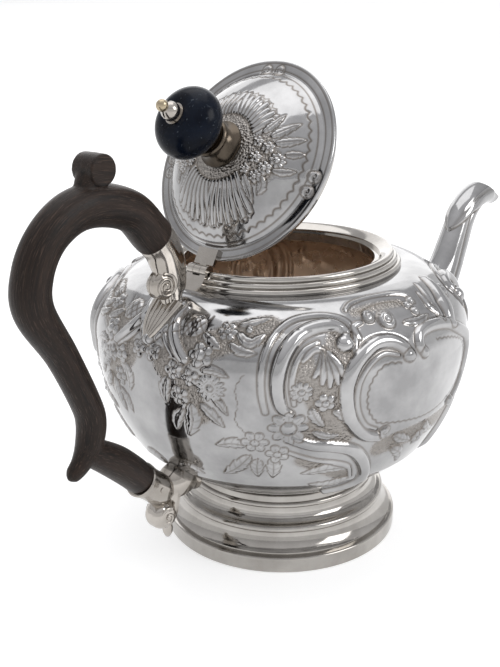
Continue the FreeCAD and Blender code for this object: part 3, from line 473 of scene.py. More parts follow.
# arch, rolls and beads above the shield
ridge([(117.6, 104.3), (114, 105.5), (106.2, 106), (97.3, 105.7), (91, 104.6), (89.8, 102.6)], 0.9, 0.8)
line([(113.5, 103.6), (106, 104.4), (99, 104.2), (95, 103)])
curl([(111, 102)], 2.5, 1.3)
curl([(105.3, 100.4)], 3.5, 1.5, -1)
ridge([(114, 101), (117, 100), (116.4, 97)], 1.0, 0.8, 0.5)
bead([(91.2, 103)], 1.4, 1.1)
bead([(94, 102.4)], 1.4, 1.1)
bead([(92.4, 100.3)], 1.6, 1.2)
ridge([(79.5, 105.2), (82.4, 101), (84, 95.6)], 1.0, 0.8, 0.5)
ridge([(71, 105), (74, 101), (76.5, 98), (79.6, 93.6)], 3.2, 2.0, 0.5)
ridge([(84, 103.6), (84.6, 100), (83.6, 97.6)], 1.2, 0.8, 0.5)
curl([(69, 101)], 3.0, 1.3)
leaf([(100, 98.6), (94, 98), (88, 98.4)], 1.6, 0.6)
# belly scroll and the flowers on it
leaf([(117, 50), (125, 50.5), (133, 49)], 2.6, 0.7, 4, front=True)
leaf([(116, 44), (123, 42), (130, 43)], 2.2, 0.7, 4, front=True)
ridge([(137.5, 59.2), (130, 55.3), (122.8, 53), (118.1, 50.2), (115.6, 44.3)], 0.9, 0.7, front=True)
ridge([(135.9, 64.5), (130.5, 62), (123.8, 60.5), (117.9, 57.6), (113.1, 51.1), (110.3, 43.9),
       (111.5, 39), (115.5, 36), (121, 35)], 2.4, 1.9, 0.8, front=True)
leaf([(141.6, 57), (141.6, 52), (142.1, 47.2)], 2.6, 0.7, front=True)
leaf([(146.2, 56), (146.7, 52), (146.7, 47.4)], 2.4, 0.7, front=True)
leaf([(148.4, 57.5), (153, 51.5), (158.1, 47.3)], 2.7, 0.7)
leaf([(149.4, 61.8), (153.4, 62.4), (158.4, 60.7)], 2.3, 0.7)
flower([(140.4, 58.7)], 3.9, 0.9, 5, 0.3, front=True)
flower([(146.7, 63.4)], 4.4, 0.9, 6, 0.28, front=True)
flower([(137.4, 69.3)], 6.4, 1.0, 8, 0.36, front=True)
bead([(137.4, 69.3)], 2.3, 1.5, front=True)
leaf([(104, 60), (100, 57), (95, 55)], 2.2, 0.8)
leaf([(103, 54), (98, 50), (96, 45)], 2.2, 0.8)
leaf([(90, 60), (87, 56), (82, 54)], 2.2, 0.8)
flower([(91, 54)], 3.4, 1.0)
waved([(149.1, 88), (151.2, 83.2), (150.8, 77.5), (151.6, 71.4), (149.1, 66.9)], 2.6, 0.4, 0.15)
# spray by the handle
leaf([(167, 73), (169.6, 69), (170.6, 64)], 1.9, 0.7)
leaf([(161, 88.4), (157, 88.6), (153.4, 87)], 1.6, 0.7)
leaf([(165.6, 91), (168.4, 91.6), (171.6, 90.6)], 1.3, 0.7)
leaf([(164.3, 76), (164.4, 69.1), (166.5, 62.7)], 2.9, 0.7)
leaf([(161.7, 76.5), (158.4, 72.6), (155.2, 68.6)], 2.1, 0.7)
leaf([(157.8, 79), (155.8, 77), (154, 73.4)], 1.5, 0.7)
leaf([(171.5, 84), (173, 79), (172.5, 74)], 2.2, 0.7)
flower([(167.9, 78)], 3.5, 0.85, 5)
flower([(169.4, 86.7)], 3.6, 0.9, 5)
flower([(164.3, 85)], 3.2, 0.85, 5)
flower([(158.5, 82.6)], 4.9, 0.85, 14, 0.2)
flower([(161.6, 93)], 4.4, 1.0, 5, 0.38)
flower([(177.2, 91)], 3.2, 0.85, 5)
ridge([(175.4, 103.4), (176.8, 100.4), (175.3, 97.1), (171.8, 93.1), (167.6, 89.7)], 0.9, 0.8)
ridge([(171.9, 104.1), (173.6, 101.4), (172.5, 98.2), (169.8, 94.6), (166.4, 90.9)], 2.0, 1.8)
bead([(166.2, 100.3)], 4.2, 0.9)
for shift in (-2.4, 0, 2.4):
    line([(163.5 + shift, 103.2), (168.9 + shift, 97.4)])
    line([(168.9 + shift, 103.2), (163.5 + shift, 97.4)])
leaf([(176.5, 43.5), (171.5, 46.5), (166, 45)], 2.4, 0.9, 5)
# garland under the mouth
leaf([(162.4, 99), (159, 97), (156, 95)], 1.9, 0.8)
leaf([(152, 99.8), (148, 97.4), (143.4, 99.8)], 2.2, 0.9)
leaf([(154, 97), (150, 95), (146, 94.6)], 1.7, 0.7)
leaf([(152, 101.6), (147, 102.6), (142, 103.6)], 1.6, 0.7)
flower([(155, 99.8)], 3.6, 1.0, 6, 0.34)
bead([(148.6, 100.6)], 1.2, 1.0)
# fan below the upper socket
for turn_out in (0, 2.6, 5.2, 7.8):
    ridge([(180 - turn_out, 105.6 - 0.12 * turn_out), (180 - 0.75 * turn_out, 100.5),
           (180 - 0.3 * turn_out, 95.4)], 1.6, 1.2, 0.5)
bead([(180, 94.4)], 2.1, 2.2)
# below the lip of the spout
ridge([(12, 95), (20, 99), (29, 98), (31, 92), (27, 88)], 1.5, 1.1)
leaf([(24, 90), (20, 86), (18, 80)], 2.4, 0.8)
chasing.soften()

columns = 360 * STEPS_PER_DEGREE
side_column = np.abs(np.arange(columns) - 180 * STEPS_PER_DEGREE)
turn = np.radians(np.arange(columns) / STEPS_PER_DEGREE - 180)
fade = np.clip((plain_height - body_height) / plain_fade, 0, 1)[:, None]
outside_relief = (chasing.relief * fade)[:, side_column]
inner_rows = slice(None, None, -4)
inside_relief = outside_relief[inner_rows] * 0.7


def plain_rows(outline, turn):
    """Rows of points along an outline of (radius, height) points."""
    radius, height = np.hsplit(np.array(outline), 2)
    return turned_rows(radius, height, turn)


outside = turned_rows(body_radius[:, None] + outside_relief * body_out[:, None],
                      body_height[:, None] + outside_relief * body_up[:, None], turn)
thin = inside_relief - body_wall
inside = turned_rows(body_radius[inner_rows, None] + thin * body_out[inner_rows, None],
                     body_height[inner_rows, None] + thin * body_up[inner_rows, None], turn)
neck = plain_rows([(37.2, 106.9), (37.2, 108.4), (36.0, 108.4), (36.0, 106.0)], turn)
floor_inside = plain_rows([(35.0, 28.7), (20.0, 28.7), (0.0, 28.7)], turn)
floor_outside = plain_rows([(0.0, 27.5), (30.0, 27.5)], turn)
body_grid = np.concatenate([outside, neck, inside[1:-1], floor_inside, floor_outside])
rows_after = len(body_grid) - len(outside)
bare = np.zeros((rows_after, columns))
tea_brown = np.full((rows_after, columns), 0.9)
tea_brown[:len(neck)] = 0.1
body_soot = np.concatenate([chasing.soot[:, side_column], bare])
body_matting = np.concatenate([chasing.matting[:, side_column], bare])
body_stain = np.concatenate([0 * outside_relief, tea_brown])
chased_silver = silver("chased_silver", (0.45, 0.447, 0.448, 1), (0.29, 0.288, 0.29, 1), smooth=0.05,
                       rough=0.16, streak=(140, 140, 140), wave=0.12)
make_piece("raised_body", (body_grid.reshape(-1, 3), skin(len(body_grid), columns)), chased_silver, "pot",
           "body_shell", crease=60, soot=body_soot, matting=body_matting, stain=body_stain)

# Mouth ring
# A cast and turned ring of three reeds, soldered round the neck. Its inner step holds the lid's edge,
# and it is filed away behind, where the hinge stands.

reed_foot, reed_crest, reeds, reed_rise = np.array((45.4, 106.9)), np.array((41.2, 112.4)), 3, 0.62
hinge_gap, hinge_seat = 5.0, 110.2
reed_step = (reed_crest - reed_foot) / reeds
mouth_ring = [(37.2, 106.9), tuple(reed_foot)]
for k in range(reeds):
    reed_top = reed_foot + reed_step * (k + 0.5) + reed_rise
    mouth_ring += arc(mouth_ring[-1], tuple(reed_top), tuple(reed_foot + reed_step * (k + 1)), 10)
mouth_ring += arc(mouth_ring[-1], (39.6, 111.7), (37.8, 110.4), 6)
mouth_ring += [(37.8, 109.2), (36.0, 109.2), (36.0, 108.4), (37.2, 108.4)]
mouth_points, mouth_faces = spun(mouth_ring, 1080)
behind = (mouth_points[:, 0] < 0) & (np.abs(mouth_points[:, 1]) < hinge_gap)
mouth_points[behind, 2] = np.minimum(mouth_points[behind, 2], hinge_seat)
make_piece("mouth_ring", (mouth_points, mouth_faces), turned_silver, "pot", "mouth_rim", crease=30)

# Spout
# A swan-neck spout of two raised halves soldered along the sides, with lobes drawn along it and a chased
# leaf over the lip. Its foot follows the curve of the belly, and inside it is as brown as the body.

spout_legs = [(46.0, 0.0, 13.18, 0.77), (18.45, 18.55, 10.69, 0.866), (18.45, 18.55, 8.53, 0.949),
              (15.82, 15.9, 7.2, 1.0), (15.9, 0.0, 6.43, 1.0), (13.1, -33.2, 5.88, 1.0),
              (11.46, -29.05, 5.66, 1.0), (8.18, -20.75, 5.0, 1.0)]


def walk(start, heading, half, flatness, legs, pace=0.5):
    """Follow legs of (length, turn, half, flatness) and give each step's place, heading and section."""
    steps = [(start[0], start[1], heading, half, flatness)]
    x, z = start
    for length, bend, end_half, end_flatness in legs:
        count = max(1, round(length / pace))
        for k in range(1, count + 1):
            share = k / count
            middle = math.radians(heading + bend * (share - 0.5 / count))
            x += length / count * math.cos(middle)
            z += length / count * math.sin(middle)
            steps.append((x, z, heading + bend * share, half + (end_half - half) * share,
                          flatness + (end_flatness - flatness) * share))
        heading, half, flatness = heading + bend, end_half, end_flatness
    steps = np.array(steps)
    smooth = np.ones(15) / 15
    for column in (3, 4):
        padded = np.pad(steps[:, column], 7, mode="edge")
        steps[:, column] = np.convolve(padded, smooth, mode="valid")
    return steps


def swept(steps, turn, swell):
    """Rings round a line in the plane of spout and handle; swell is added to the half size."""
    x, z, heading, half, flatness = (column[:, None] for column in steps.T)
    heading = np.radians(heading)
    high = (half + swell) * np.cos(turn)
    wide = (half * flatness + swell) * np.sin(turn)
    return np.stack([x - high * np.sin(heading), wide, z + high * np.cos(heading)], axis=2)


spout_walk = walk(start=(36.0, 47.5), heading=8.0, half=15.5, flatness=0.68, legs=spout_legs)
spout_turn = np.radians(np.arange(0, 360, 3))
spout_side = np.abs(np.degrees(np.arctan2(np.sin(spout_turn), np.cos(spout_turn))))
spout_share = np.linspace(0, 1, len(spout_walk))[:, None]
crease_line = 118 - 52 * spout_share
lobe_rise = np.clip((spout_share - 0.3) * 6, 0, 1)
lobes = -0.55 * np.exp(-((spout_side - crease_line) / 9) ** 2) * lobe_rise
lobes += 0.3 * np.exp(-((spout_side - crease_line - 30) / 14) ** 2) * lobe_rise
hood_share = np.clip((spout_share - 0.74) / 0.2, 0, 1)
hood_edge = 122 * np.sin(0.5 * math.pi * hood_share) ** 0.8
hood = np.clip((hood_edge - spout_side) / 10, 0, 1) * np.clip((0.965 - spout_share) / 0.015, 0, 1)
hood_line = np.exp(-((hood_edge - spout_side) / 4.5) ** 2) * (hood_share > 0.02) * (spout_share < 0.96)
hood_rib = np.exp(-((spout_side - 0.55 * hood_edge) / 7) ** 2) * hood
past_hood = np.clip((spout_share - 0.955) / 0.015, 0, 1) * np.clip((80 - spout_side) / 30, 0, 1)
spout_swell = lobes * (1 - hood) + 0.75 * hood - 0.2 * hood_rib - 0.9 * past_hood
# the crease between the lobes and the lines on the hood are darkened: tarnish and painted shade
spout_soot = 0.7 * np.exp(-((spout_side - crease_line) / 4) ** 2) * lobe_rise
spout_soot = np.maximum(spout_soot * (1 - hood), 0.8 * hood_line + 0.3 * hood_rib)
spout_skin = swept(spout_walk, spout_turn, spout_swell)
spout_wall, solder_depth = 1.0, 0.7
spout_bore = swept(spout_walk, spout_turn, 0 * spout_swell - spout_wall)
# the slant of the lip cuts only what lies beyond these steps
lip_x, lip_height, lip_lean = 159.4, 105.1, math.radians(34.0)
neck_steps = 250


def trim_spout(rings, marks):
    """Start each line along the spout at the body and end it at the slanted lip."""
    x, y, z = np.moveaxis(rings, 2, 0)
    past = (x - lip_x) * math.sin(lip_lean) + (z - lip_height) * math.cos(lip_lean)
    clear = np.hypot(x, y) - np.interp(z, body_height, body_radius) + solder_depth
    place = np.arange(len(rings))
    trimmed, kept = [], []
    for column in range(rings.shape[1]):
        first = np.nonzero(clear[:, column] > 0)[0][0]
        start = first - clear[first, column] / (clear[first, column] - clear[first - 1, column])
        over = np.nonzero((past[:, column] > 0) & (place > neck_steps))[0]
        end = len(rings) - 1.0
        if len(over):
            last = over[0]
            end = last - past[last, column] / (past[last, column] - past[last - 1, column])
        at = start + (end - start) * np.linspace(0, 1, len(rings))
        trimmed.append(np.stack([np.interp(at, place, rings[:, column, axis]) for axis in range(3)], axis=1))
        kept.append(np.interp(at, place, marks[:, column]))
    return np.stack(trimmed, axis=1), np.stack(kept, axis=1)


spout_outside, spout_marks = trim_spout(spout_skin, spout_soot)
spout_inside, bore_marks = trim_spout(spout_bore, 0 * spout_soot)
lip = spout_outside[-1] + 0.25 * (spout_outside[-1] - spout_outside[-2])
spout_grid = np.concatenate([spout_outside, lip[None], spout_inside[::-1]])
spout_tarnish_and_shade_marks = np.concatenate([spout_marks, bore_marks[-1:], bore_marks])
spout_stain = np.concatenate([bore_marks, bore_marks[-1:], bore_marks + 0.9])
spout_shape = spout_grid.reshape(-1, 3), skin(len(spout_grid), len(spout_turn))
make_piece("swan_neck_spout", spout_shape, chased_silver, "pot", "spout", crease=50, soot=spout_tarnish_and_shade_marks,
           stain=spout_stain)

# Upper socket
# A cast silver stem that stands on the shoulder behind the lid. Its round mouth holds the handle's
# tenon, each flat side of its foot carries a rolled volute, and a ribbed leaf spreads below it.

stem_stations = [(-63.3, 128.8, -45.0, 6.6, 0.9), (-62.6, 128.1, -45.0, 6.9, 0.88),
                 (-60.0, 124.8, -50.0, 6.9, 0.79), (-57.7, 119.8, -70.0, 6.8, 0.7),
                 (-56.6, 115.4, -86.0, 6.6, 0.6), (-56.2, 111.0, -98.0, 6.2, 0.55),
                 (-56.8, 107.4, -94.0, 4.2, 0.8), (-56.8, 104.0, -90.0, 3.6, 1.0),
                 (-56.8, 101.5, -90.0, 3.6, 1.0)]
stem_steps = eased(stem_stations, 8)
stem_angle = np.arange(0, 360, 5)
stem_turn = np.radians(stem_angle)
stem_rib = sum(np.exp(-((stem_angle % 180 - rib) / 9) ** 2) for rib in (52, 128))
stem_swell = 0.4 * stem_rib + np.zeros((len(stem_steps), 1))
plain_mouth = slice(0, 6)
stem_swell[plain_mouth] = 0.1
stem_rings = swept(stem_steps, stem_turn, stem_swell)


def closed_sweep(rings):
    """Rings closed at both ends, as one shape."""
    caps = [np.repeat(ring.mean(axis=0)[None, None], len(ring), axis=1) for ring in (rings[0], rings[-1])]
    grid = np.concatenate([caps[0], rings, caps[1]])
    return grid.reshape(-1, 3), skin(len(grid), rings.shape[1], close_rows=False)


def cord(path, thick):
    """A round cord along points, with one thickness or one for each point."""
    path = np.array(path, float)
    thick = np.broadcast_to(np.array(thick, float), len(path))
    ahead = np.gradient(path, axis=0)
    ahead /= np.linalg.norm(ahead, axis=1)[:, None]
    side = np.cross(ahead, np.cross(ahead, (0.31, 0.87, 0.37)))
    side /= np.linalg.norm(side, axis=1)[:, None]
    up = np.cross(ahead, side)
    turn = np.radians(np.arange(0, 360, 30))
    rings = (path[:, None] + thick[:, None, None] * (side[:, None] * np.cos(turn)[:, None]
                                                     + up[:, None] * np.sin(turn)[:, None]))
    return closed_sweep(rings)


def volute(middle, facing, radius, thick, hand, start, turns=1.9):
    """A rolled scroll seen from its face: a domed disc with a spiral cord and an eye."""
    facing = np.array(facing) / np.linalg.norm(facing)
    side = np.cross((0, 0, 1), facing)
    side /= np.linalg.norm(side)
    frame_of_disc = np.stack([side, (0, 0, 1), facing])
    t = np.linspace(0, 1, 70)
    angle = math.radians(start) + hand * 2 * math.pi * turns * t
    reach = (radius - 0.6) * (1 - 0.78 * t)
    spiral = np.stack([reach * np.cos(angle), reach * np.sin(angle), thick * (0.55 + 0.45 * t)], axis=1)
    disc = [(0.0, -thick)]
    disc += arc(disc[0], (0.8 * radius, -0.8 * thick), (radius, 0.0), 8)
    disc += arc((radius, 0.0), (0.8 * radius, 0.55 * thick), (0.0, 0.8 * thick), 8)
    eye = [(0.0, 0.6 * thick)]
    eye += arc(eye[0], (0.26 * radius, 0.95 * thick), (0.0, 1.35 * thick), 10)
    parts = [cord(spiral, 0.75 - 0.25 * t), spun(disc, 72, close=False), spun(eye, 36, close=False)]
    return [(points @ frame_of_disc + np.array(middle), faces) for points, faces in parts]


def barrel(half, shoulder, radius, steps):
    """The outline of a short roll with rounded ends; shoulder is (radius, distance from the middle)."""
    reach, rise = shoulder
    low = arc((0.0, -half), (reach, -rise), (radius, 0.0), steps)
    return [(0.0, -half)] + low + arc((radius, 0.0), (reach, rise), (0.0, half), steps)


def across_pot(outline, x, z):
    """A turned shape laid with its axis across the pot."""
    points, faces = spun(outline, 60, close=False)
    return np.stack([x + points[:, 0], points[:, 2], z + points[:, 1]], axis=1), faces


cast_silver = silver("cast_silver", (0.49, 0.46, 0.425, 1), (0.34, 0.312, 0.28, 1), smooth=0.08,
                     rough=0.20, streak=(300, 300, 300), wave=0.12)
upper_parts = [closed_sweep(stem_rings)]
for side in (-1, 1):
    upper_parts += volute((-61.3, side * 2.2, 111.8), (-0.2, side, 0.05), radius=4.8, thick=1.4, hand=side,
                          start=100.0)
upper_roll = barrel(half=2.4, shoulder=(4.1, 1.8), radius=4.5, steps=8)
upper_parts.append(across_pot(upper_roll, x=-61.2, z=111.7))
leaf_run = eased([(-57.4, 105.2), (-61.8, 101.9), (-65.6, 98.4), (-68.2, 95.2)], 8)
leaf_share = np.linspace(0, 1, len(leaf_run))
for spread in (-4.6, -2.3, 0.0, 2.3, 4.6):
    lobe = np.stack([leaf_run[:, 0], spread * (1 - 0.85 * leaf_share ** 2), leaf_run[:, 1]], axis=1)
    upper_parts.append(cord(lobe, 1.9 - 0.9 * leaf_share))
make_piece("upper_handle_socket", together(*upper_parts), cast_silver, "pot", "upper_socket", crease=45)

# Lower socket
# A cast tube that takes the handle's lower tenon, on a strut soldered to the belly. A scroll is rolled
# up under the tube, a strap curls down beside it and a small drop hangs below.

arm_x, arm_height, tail_end_x, tail_end_height = -73.3, 43.0, -97.4, 63.63
arm_slope = math.atan2(tail_end_height - arm_height, arm_x - tail_end_x)
arm_cos, arm_sin = math.cos(arm_slope), math.sin(arm_slope)
tube_turning = [(0.0, -2.4), (4.5, -2.4), (6.0, -2.4), (6.4, -2.0), (6.3, -1.0), (5.9, 1.0), (5.8, 4.5),
                (5.9, 7.5), (5.6, 10.0), (4.6, 12.0), (2.8, 13.4), (0.0, 13.8)]
tube_points, tube_faces = spun(tube_turning, 72, close=False)
tube_up, tube_side, tube_down = tube_points.T
tube_points = np.stack([arm_x + tube_down * arm_cos + tube_up * arm_sin, tube_side,
                        arm_height - tube_down * arm_sin + tube_up * arm_cos], axis=1)
strut_stations = [(-64.6, 38.6, -12.0, 1.6, 1.0), (-63.8, 38.5, -12.0, 3.6, 1.0),
                  (-62.2, 38.3, -12.0, 5.2, 1.0), (-60.0, 38.0, -10.0, 6.2, 1.0),
                  (-57.8, 37.8, -8.0, 6.5, 1.0), (-55.4, 37.6, -6.0, 6.2, 1.0),
                  (-53.0, 37.4, 0.0, 5.6, 1.0), (-50.5, 37.0, 0.0, 5.8, 1.0)]
strut_steps = eased(strut_stations, 6)
strut_rings = swept(strut_steps, stem_turn, np.zeros((len(strut_steps), 1)))
strap_stops = [(-60.6, 38.4), (-61.6, 33.0), (-62.1, 28.8), (-63.0, 25.6), (-64.6, 23.6), (-66.8, 22.9)]
strap_line = eased(strap_stops, 8)
strap_path = np.stack([strap_line[:, 0], 0 * strap_line[:, 0], strap_line[:, 1]], axis=1)
strap_points, strap_faces = cord(strap_path, np.linspace(2.9, 1.6, len(strap_line)))
strap_breadth = 1.9
strap_points[:, 1] *= strap_breadth
drop_turning = [(0.0, 16.6), (1.0, 17.0), (1.8, 18.6), (2.0, 20.4), (1.6, 22.6), (0.9, 24.6), (0.0, 25.0)]
drop_points, drop_faces = spun(drop_turning, 48, close=False)
drop_x = -63.2
drop_points[:, 0] += drop_x
lower_roll = barrel(half=4.3, shoulder=(4.6, 3.0), radius=5.2, steps=10)
lower_parts = [(tube_points, tube_faces), closed_sweep(strut_rings), (strap_points, strap_faces),
               (drop_points, drop_faces), across_pot(lower_roll, x=-66.4, z=27.4)]
for side in (-1, 1):
    lower_parts += volute((-66.2, side * 3.2, 27.4), (-0.2, side, 0.0), radius=4.0, thick=1.6, hand=-side,
                          start=60.0, turns=1.2)
make_piece("lower_handle_socket", together(*lower_parts), cast_silver, "pot", "lower_socket", crease=45)

# Socket pins
# Two short silver pins driven through the sockets and the wood, filed off a hair below the surface.
# They keep their turned shape and take the cast finish of the sockets.


def dress(finish, *nodes):
    """Give solids that keep their shape a finish."""
    for node in nodes:
        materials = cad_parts[node].data.materials
        materials.clear()
        materials.append(finish)


dress(cast_silver, "upper_socket_pin", "lower_socket_pin")

# Handle
# One piece of dark hardwood, sawn, rasped round and oiled: a bow from the upper socket, a thumb scroll
# on top, a spur at the tail and a short arm into the lower socket. The grain runs along the bow.

handle_half, waist_half, spur_half = 6.45, 5.1, 2.8
bow_x, bow_height, bow_radius = -90.5, 119.8, 23.3
tail_x, tail_height, tail_radius = -113.0, 73.0, 18.2
thumb_x, thumb_height, thumb_breadth = -86.6, 154.5, 1.12


def on_bow(angle):
    """A place on the round back of the bow."""
    angle = math.radians(angle)
    return bow_x + bow_radius * math.cos(angle), bow_height + bow_radius * math.sin(angle)


def on_tail(angle):
    """A place on the curve that runs out into the spur."""
    angle = math.radians(angle)
    return tail_x + tail_radius * math.cos(angle), tail_height + tail_radius * math.sin(angle)


bow_stops = [(-62.6, 128.1, 6.5), (-63.2, 128.7, 6.9), (-65.2, 130.8, 7.0), (-72.9, 138.9, 6.8)]
bow_stops += [(-85.6, 143.2, 7.0), (-96.8, 142.6, 6.8)]
bow_stops += [(*on_bow(angle), handle_half) for angle in (134, 162, 190)]
bow_stops += [(-104.4, 98.9, 5.37), (*on_tail(25), waist_half), (*on_tail(0), waist_half),
              (*on_tail(-24), 4.64), (*on_tail(-44), 3.5), (*on_tail(-58), spur_half),
              (*on_tail(-63), 2.0), (*on_tail(-66.5), 0.6)]
bow_line = eased(bow_stops, 12)


def wood_sweep(line):
    """A round bar along (x, height, half) points."""
    path = np.stack([line[:, 0], 0 * line[:, 0], line[:, 1]], axis=1)
    ahead = np.gradient(path, axis=0)
    ahead /= np.linalg.norm(ahead, axis=1)[:, None]
    up = np.cross(ahead, (0, 1, 0))
    turn = np.radians(np.arange(0, 360, 6))
    rings = path[:, None] + line[:, 2, None, None] * (up[:, None] * np.cos(turn)[:, None]
                                                      + np.array((0, 1, 0)) * np.sin(turn)[:, None])
    return closed_sweep(rings)


arm_stops = [(*on_tail(-31), 4.6), (-92.2, 60.2, 5.3), (-85.4, 55.0, 5.9), (-79.2, 49.2, 5.9),
             (-76.2, 46.0, 5.8), (-74.8, 44.5, 5.5)]
arm_line = eased(arm_stops, 10)
thumb_line = eased([(-94.6, 141.0, 2.6), (-92.0, 146.8, 3.0), (-89.4, 151.2, 3.8), (-87.4, 153.6, 4.2)], 10)
thumb_drum = [(0.0, -4.9), (4.7, -4.9), (5.0, -4.6), (5.1, 0.0), (5.0, 4.6), (4.7, 4.9), (0.0, 4.9)]
thumb_points, thumb_faces = wood_sweep(thumb_line)
thumb_points[:, 1] *= thumb_breadth
handle_parts = together(wood_sweep(bow_line), wood_sweep(arm_line), (thumb_points, thumb_faces),
                        across_pot(thumb_drum, thumb_x, thumb_height))


def melted(shape, grain, rounds):
    """Join overlapping closed shapes into one skin and round the corners between them."""
    rough = bpy.data.meshes.new("rough_wood")
    rough.from_pydata((shape[0] * MM).tolist(), [], shape[1].tolist())
    weld(rough)
    block = bpy.data.objects.new("rough_wood", rough)
    bpy.context.scene.collection.objects.link(block)
    join = block.modifiers.new("join", "REMESH")
    join.mode = "VOXEL"
    join.voxel_size = grain * MM
    rasp = block.modifiers.new("rasp", "SMOOTH")
    rasp.factor = 0.5
    rasp.iterations = rounds
    bpy.context.view_layer.update()
    whole = bpy.data.meshes.new_from_object(block.evaluated_get(bpy.context.evaluated_depsgraph_get()))
    bpy.data.objects.remove(block)
    bpy.data.meshes.remove(rough)
    return whole


def wood(name):
    """Dark oiled hardwood with long open pores that follow the bow."""
    finish, tree, shader = new_finish(name)
    grain = add(tree, "Attribute", attribute_name="grain").outputs["Vector"]
    long_grain = add(tree, "Mapping", {"Vector": grain, "Scale": (1000, 1000, 60)}).outputs["Vector"]
    figure = add(tree, "TexNoise", {"Vector": long_grain, "Scale": 0.5, "Detail": 6.0, "Roughness": 0.7})
    tone = add(tree, "ValToRGB", {"Fac": figure.outputs["Fac"]})
    tone.color_ramp.elements[0].position = 0.3
    tone.color_ramp.elements[0].color = (0.005, 0.0042, 0.004, 1)
    tone.color_ramp.elements[1].position = 0.75
    tone.color_ramp.elements[1].color = (0.040, 0.024, 0.017, 1)
    pores = add(tree, "TexNoise", {"Vector": long_grain, "Scale": 3.0, "Detail": 3.0, "Roughness": 0.7})
    open_pore = add(tree, "MapRange", {"Value": pores.outputs["Fac"], "From Min": 0.56, "From Max": 0.68})
    dusty = tinted(tree, open_pore.outputs["Result"], tone.outputs["Color"], (0.075, 0.048, 0.036, 1))
    tree.links.new(dusty, shader.inputs["Base Color"])
    handled = add(tree, "TexNoise", {"Vector": grain, "Scale": 60.0, "Detail": 4.0})
    sheen = add(tree, "MapRange", {"Value": handled.outputs["Fac"], "From Min": 0.3, "From Max": 0.7,
                                   "To Min": 0.30, "To Max": 0.48})
    tree.links.new(sheen.outputs["Result"], shader.inputs["Roughness"])
    shader.inputs["Specular IOR Level"].default_value = 0.22
    ridges = add(tree, "Bump", {"Height": figure.outputs["Fac"], "Strength": 0.4, "Distance": 0.0004})
    pitted = add(tree, "Bump", {"Height": open_pore.outputs["Result"], "Strength": 0.3, "Distance": 0.0002,
                                "Normal": ridges.outputs["Normal"]}, invert=True)
    tree.links.new(pitted.outputs["Normal"], shader.inputs["Normal"])
    return finish


handle_mesh = melted(handle_parts, grain=0.42, rounds=3)
handle_spots = np.empty(len(handle_mesh.vertices) * 3, dtype=np.float32)
handle_mesh.vertices.foreach_get("co", handle_spots)
handle_spots = handle_spots.reshape(-1, 3) / MM
wood_lines = (bow_line, arm_line)
grain_line = np.vstack(wood_lines)
wood_ahead = [np.gradient(line[:, :2], axis=0) for line in wood_lines]
grain_run = np.concatenate([np.cumsum(np.hypot(*ahead.T)) for ahead in wood_ahead])
grain_ahead = np.vstack(wood_ahead)
grain_ahead /= np.hypot(*grain_ahead.T)[:, None]
nearest = ((handle_spots[:, None, ::2] - grain_line[None, :, :2]) ** 2).sum(axis=2).argmin(axis=1)
off_line = handle_spots[:, ::2] - grain_line[nearest, :2]
lengthwise = grain_run[nearest] + (off_line * grain_ahead[nearest]).sum(axis=1)
sideways = off_line[:, 0] * grain_ahead[nearest, 1] - off_line[:, 1] * grain_ahead[nearest, 0]
grain_spots = np.stack([sideways, handle_spots[:, 1], lengthwise], axis=1) * MM
layer = handle_mesh.attributes.new("grain", "FLOAT_VECTOR", "POINT")
layer.data.foreach_set("vector", grain_spots.astype(np.float32).ravel())
handle_mesh.shade_smooth()
handle_mesh.materials.clear()
handle_mesh.materials.append(wood("oiled_wood"))
handle_piece = bpy.data.objects.new("wooden_handle", handle_mesh)
bpy.context.scene.collection.objects.link(handle_piece)
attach(handle_piece, "pot")
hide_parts("handle")

# Hinge
# Two short tubes on a leaning bracket behind the mouth, with the lid's tube between them and one pin
# through all three. They are plain drawn and filed pieces, so the turned solids stay as they are.

dress(cast_silver, "hinge_bracket", "hinge_knuckle_near", "hinge_knuckle_far", "hinge_pin",
      "lid_hinge_leaf", "lid_hinge_knuckle")

# Lid
# A raised dome with a flat border, chased like the body: a punched ring round the knob, flowers, shell
# flutes and bare panels inside a scalloped line. It stands open, leaning back against its hinge.

hinge_x, hinge_height, rim_height, lid_open = -42.2, 112.7, 110.4, math.radians(59.4)
lid_cos, lid_sin = math.cos(lid_open), math.sin(lid_open)


def raised(shape):
    """Carry a shape from the closed lid to the open lid."""
    points, faces = shape
    dx, dz = points[:, 0] - hinge_x, points[:, 2] + rim_height - hinge_height
    return np.stack([hinge_x + dx * lid_cos - dz * lid_sin, points[:, 1],
                     hinge_height + dx * lid_sin + dz * lid_cos], axis=1), faces


dome_points = [(33.0, 0.3)] + arc((33.0, 0.3), (21.0, 8.9), (8.6, 12.7), 80)
_, dome_radius, dome_height, dome_out, dome_up = even_rows(dome_points, 92)
border_radius = np.linspace(37.2, 33.2, 14)
lid_radius = np.concatenate([border_radius, dome_radius])
LID_COLUMNS = 720
lid_turn = np.arange(LID_COLUMNS) * 2 * math.pi / LID_COLUMNS
half_turn = -np.arange(LID_COLUMNS // 2 + 1) * 2 * math.pi / LID_COLUMNS
lid_chasing = ChasedSheet(lid_radius[:, None] * np.cos(half_turn), lid_radius[:, None] * np.sin(half_turn))


def on_lid(*spots):
    """Places given as (angle from the lid's front, distance from its middle) on the flat of the lid."""
    turns = [(math.radians(angle), reach) for angle, reach in spots]
    return [(reach * math.cos(turn), reach * math.sin(turn)) for turn, reach in turns]


def lid_ring(reach, first=-190, last=10, step=10):
    """Places at one distance from the lid's middle, from one angle to another."""
    return on_lid(*[(angle, reach) for angle in range(first, last + 1, step)])


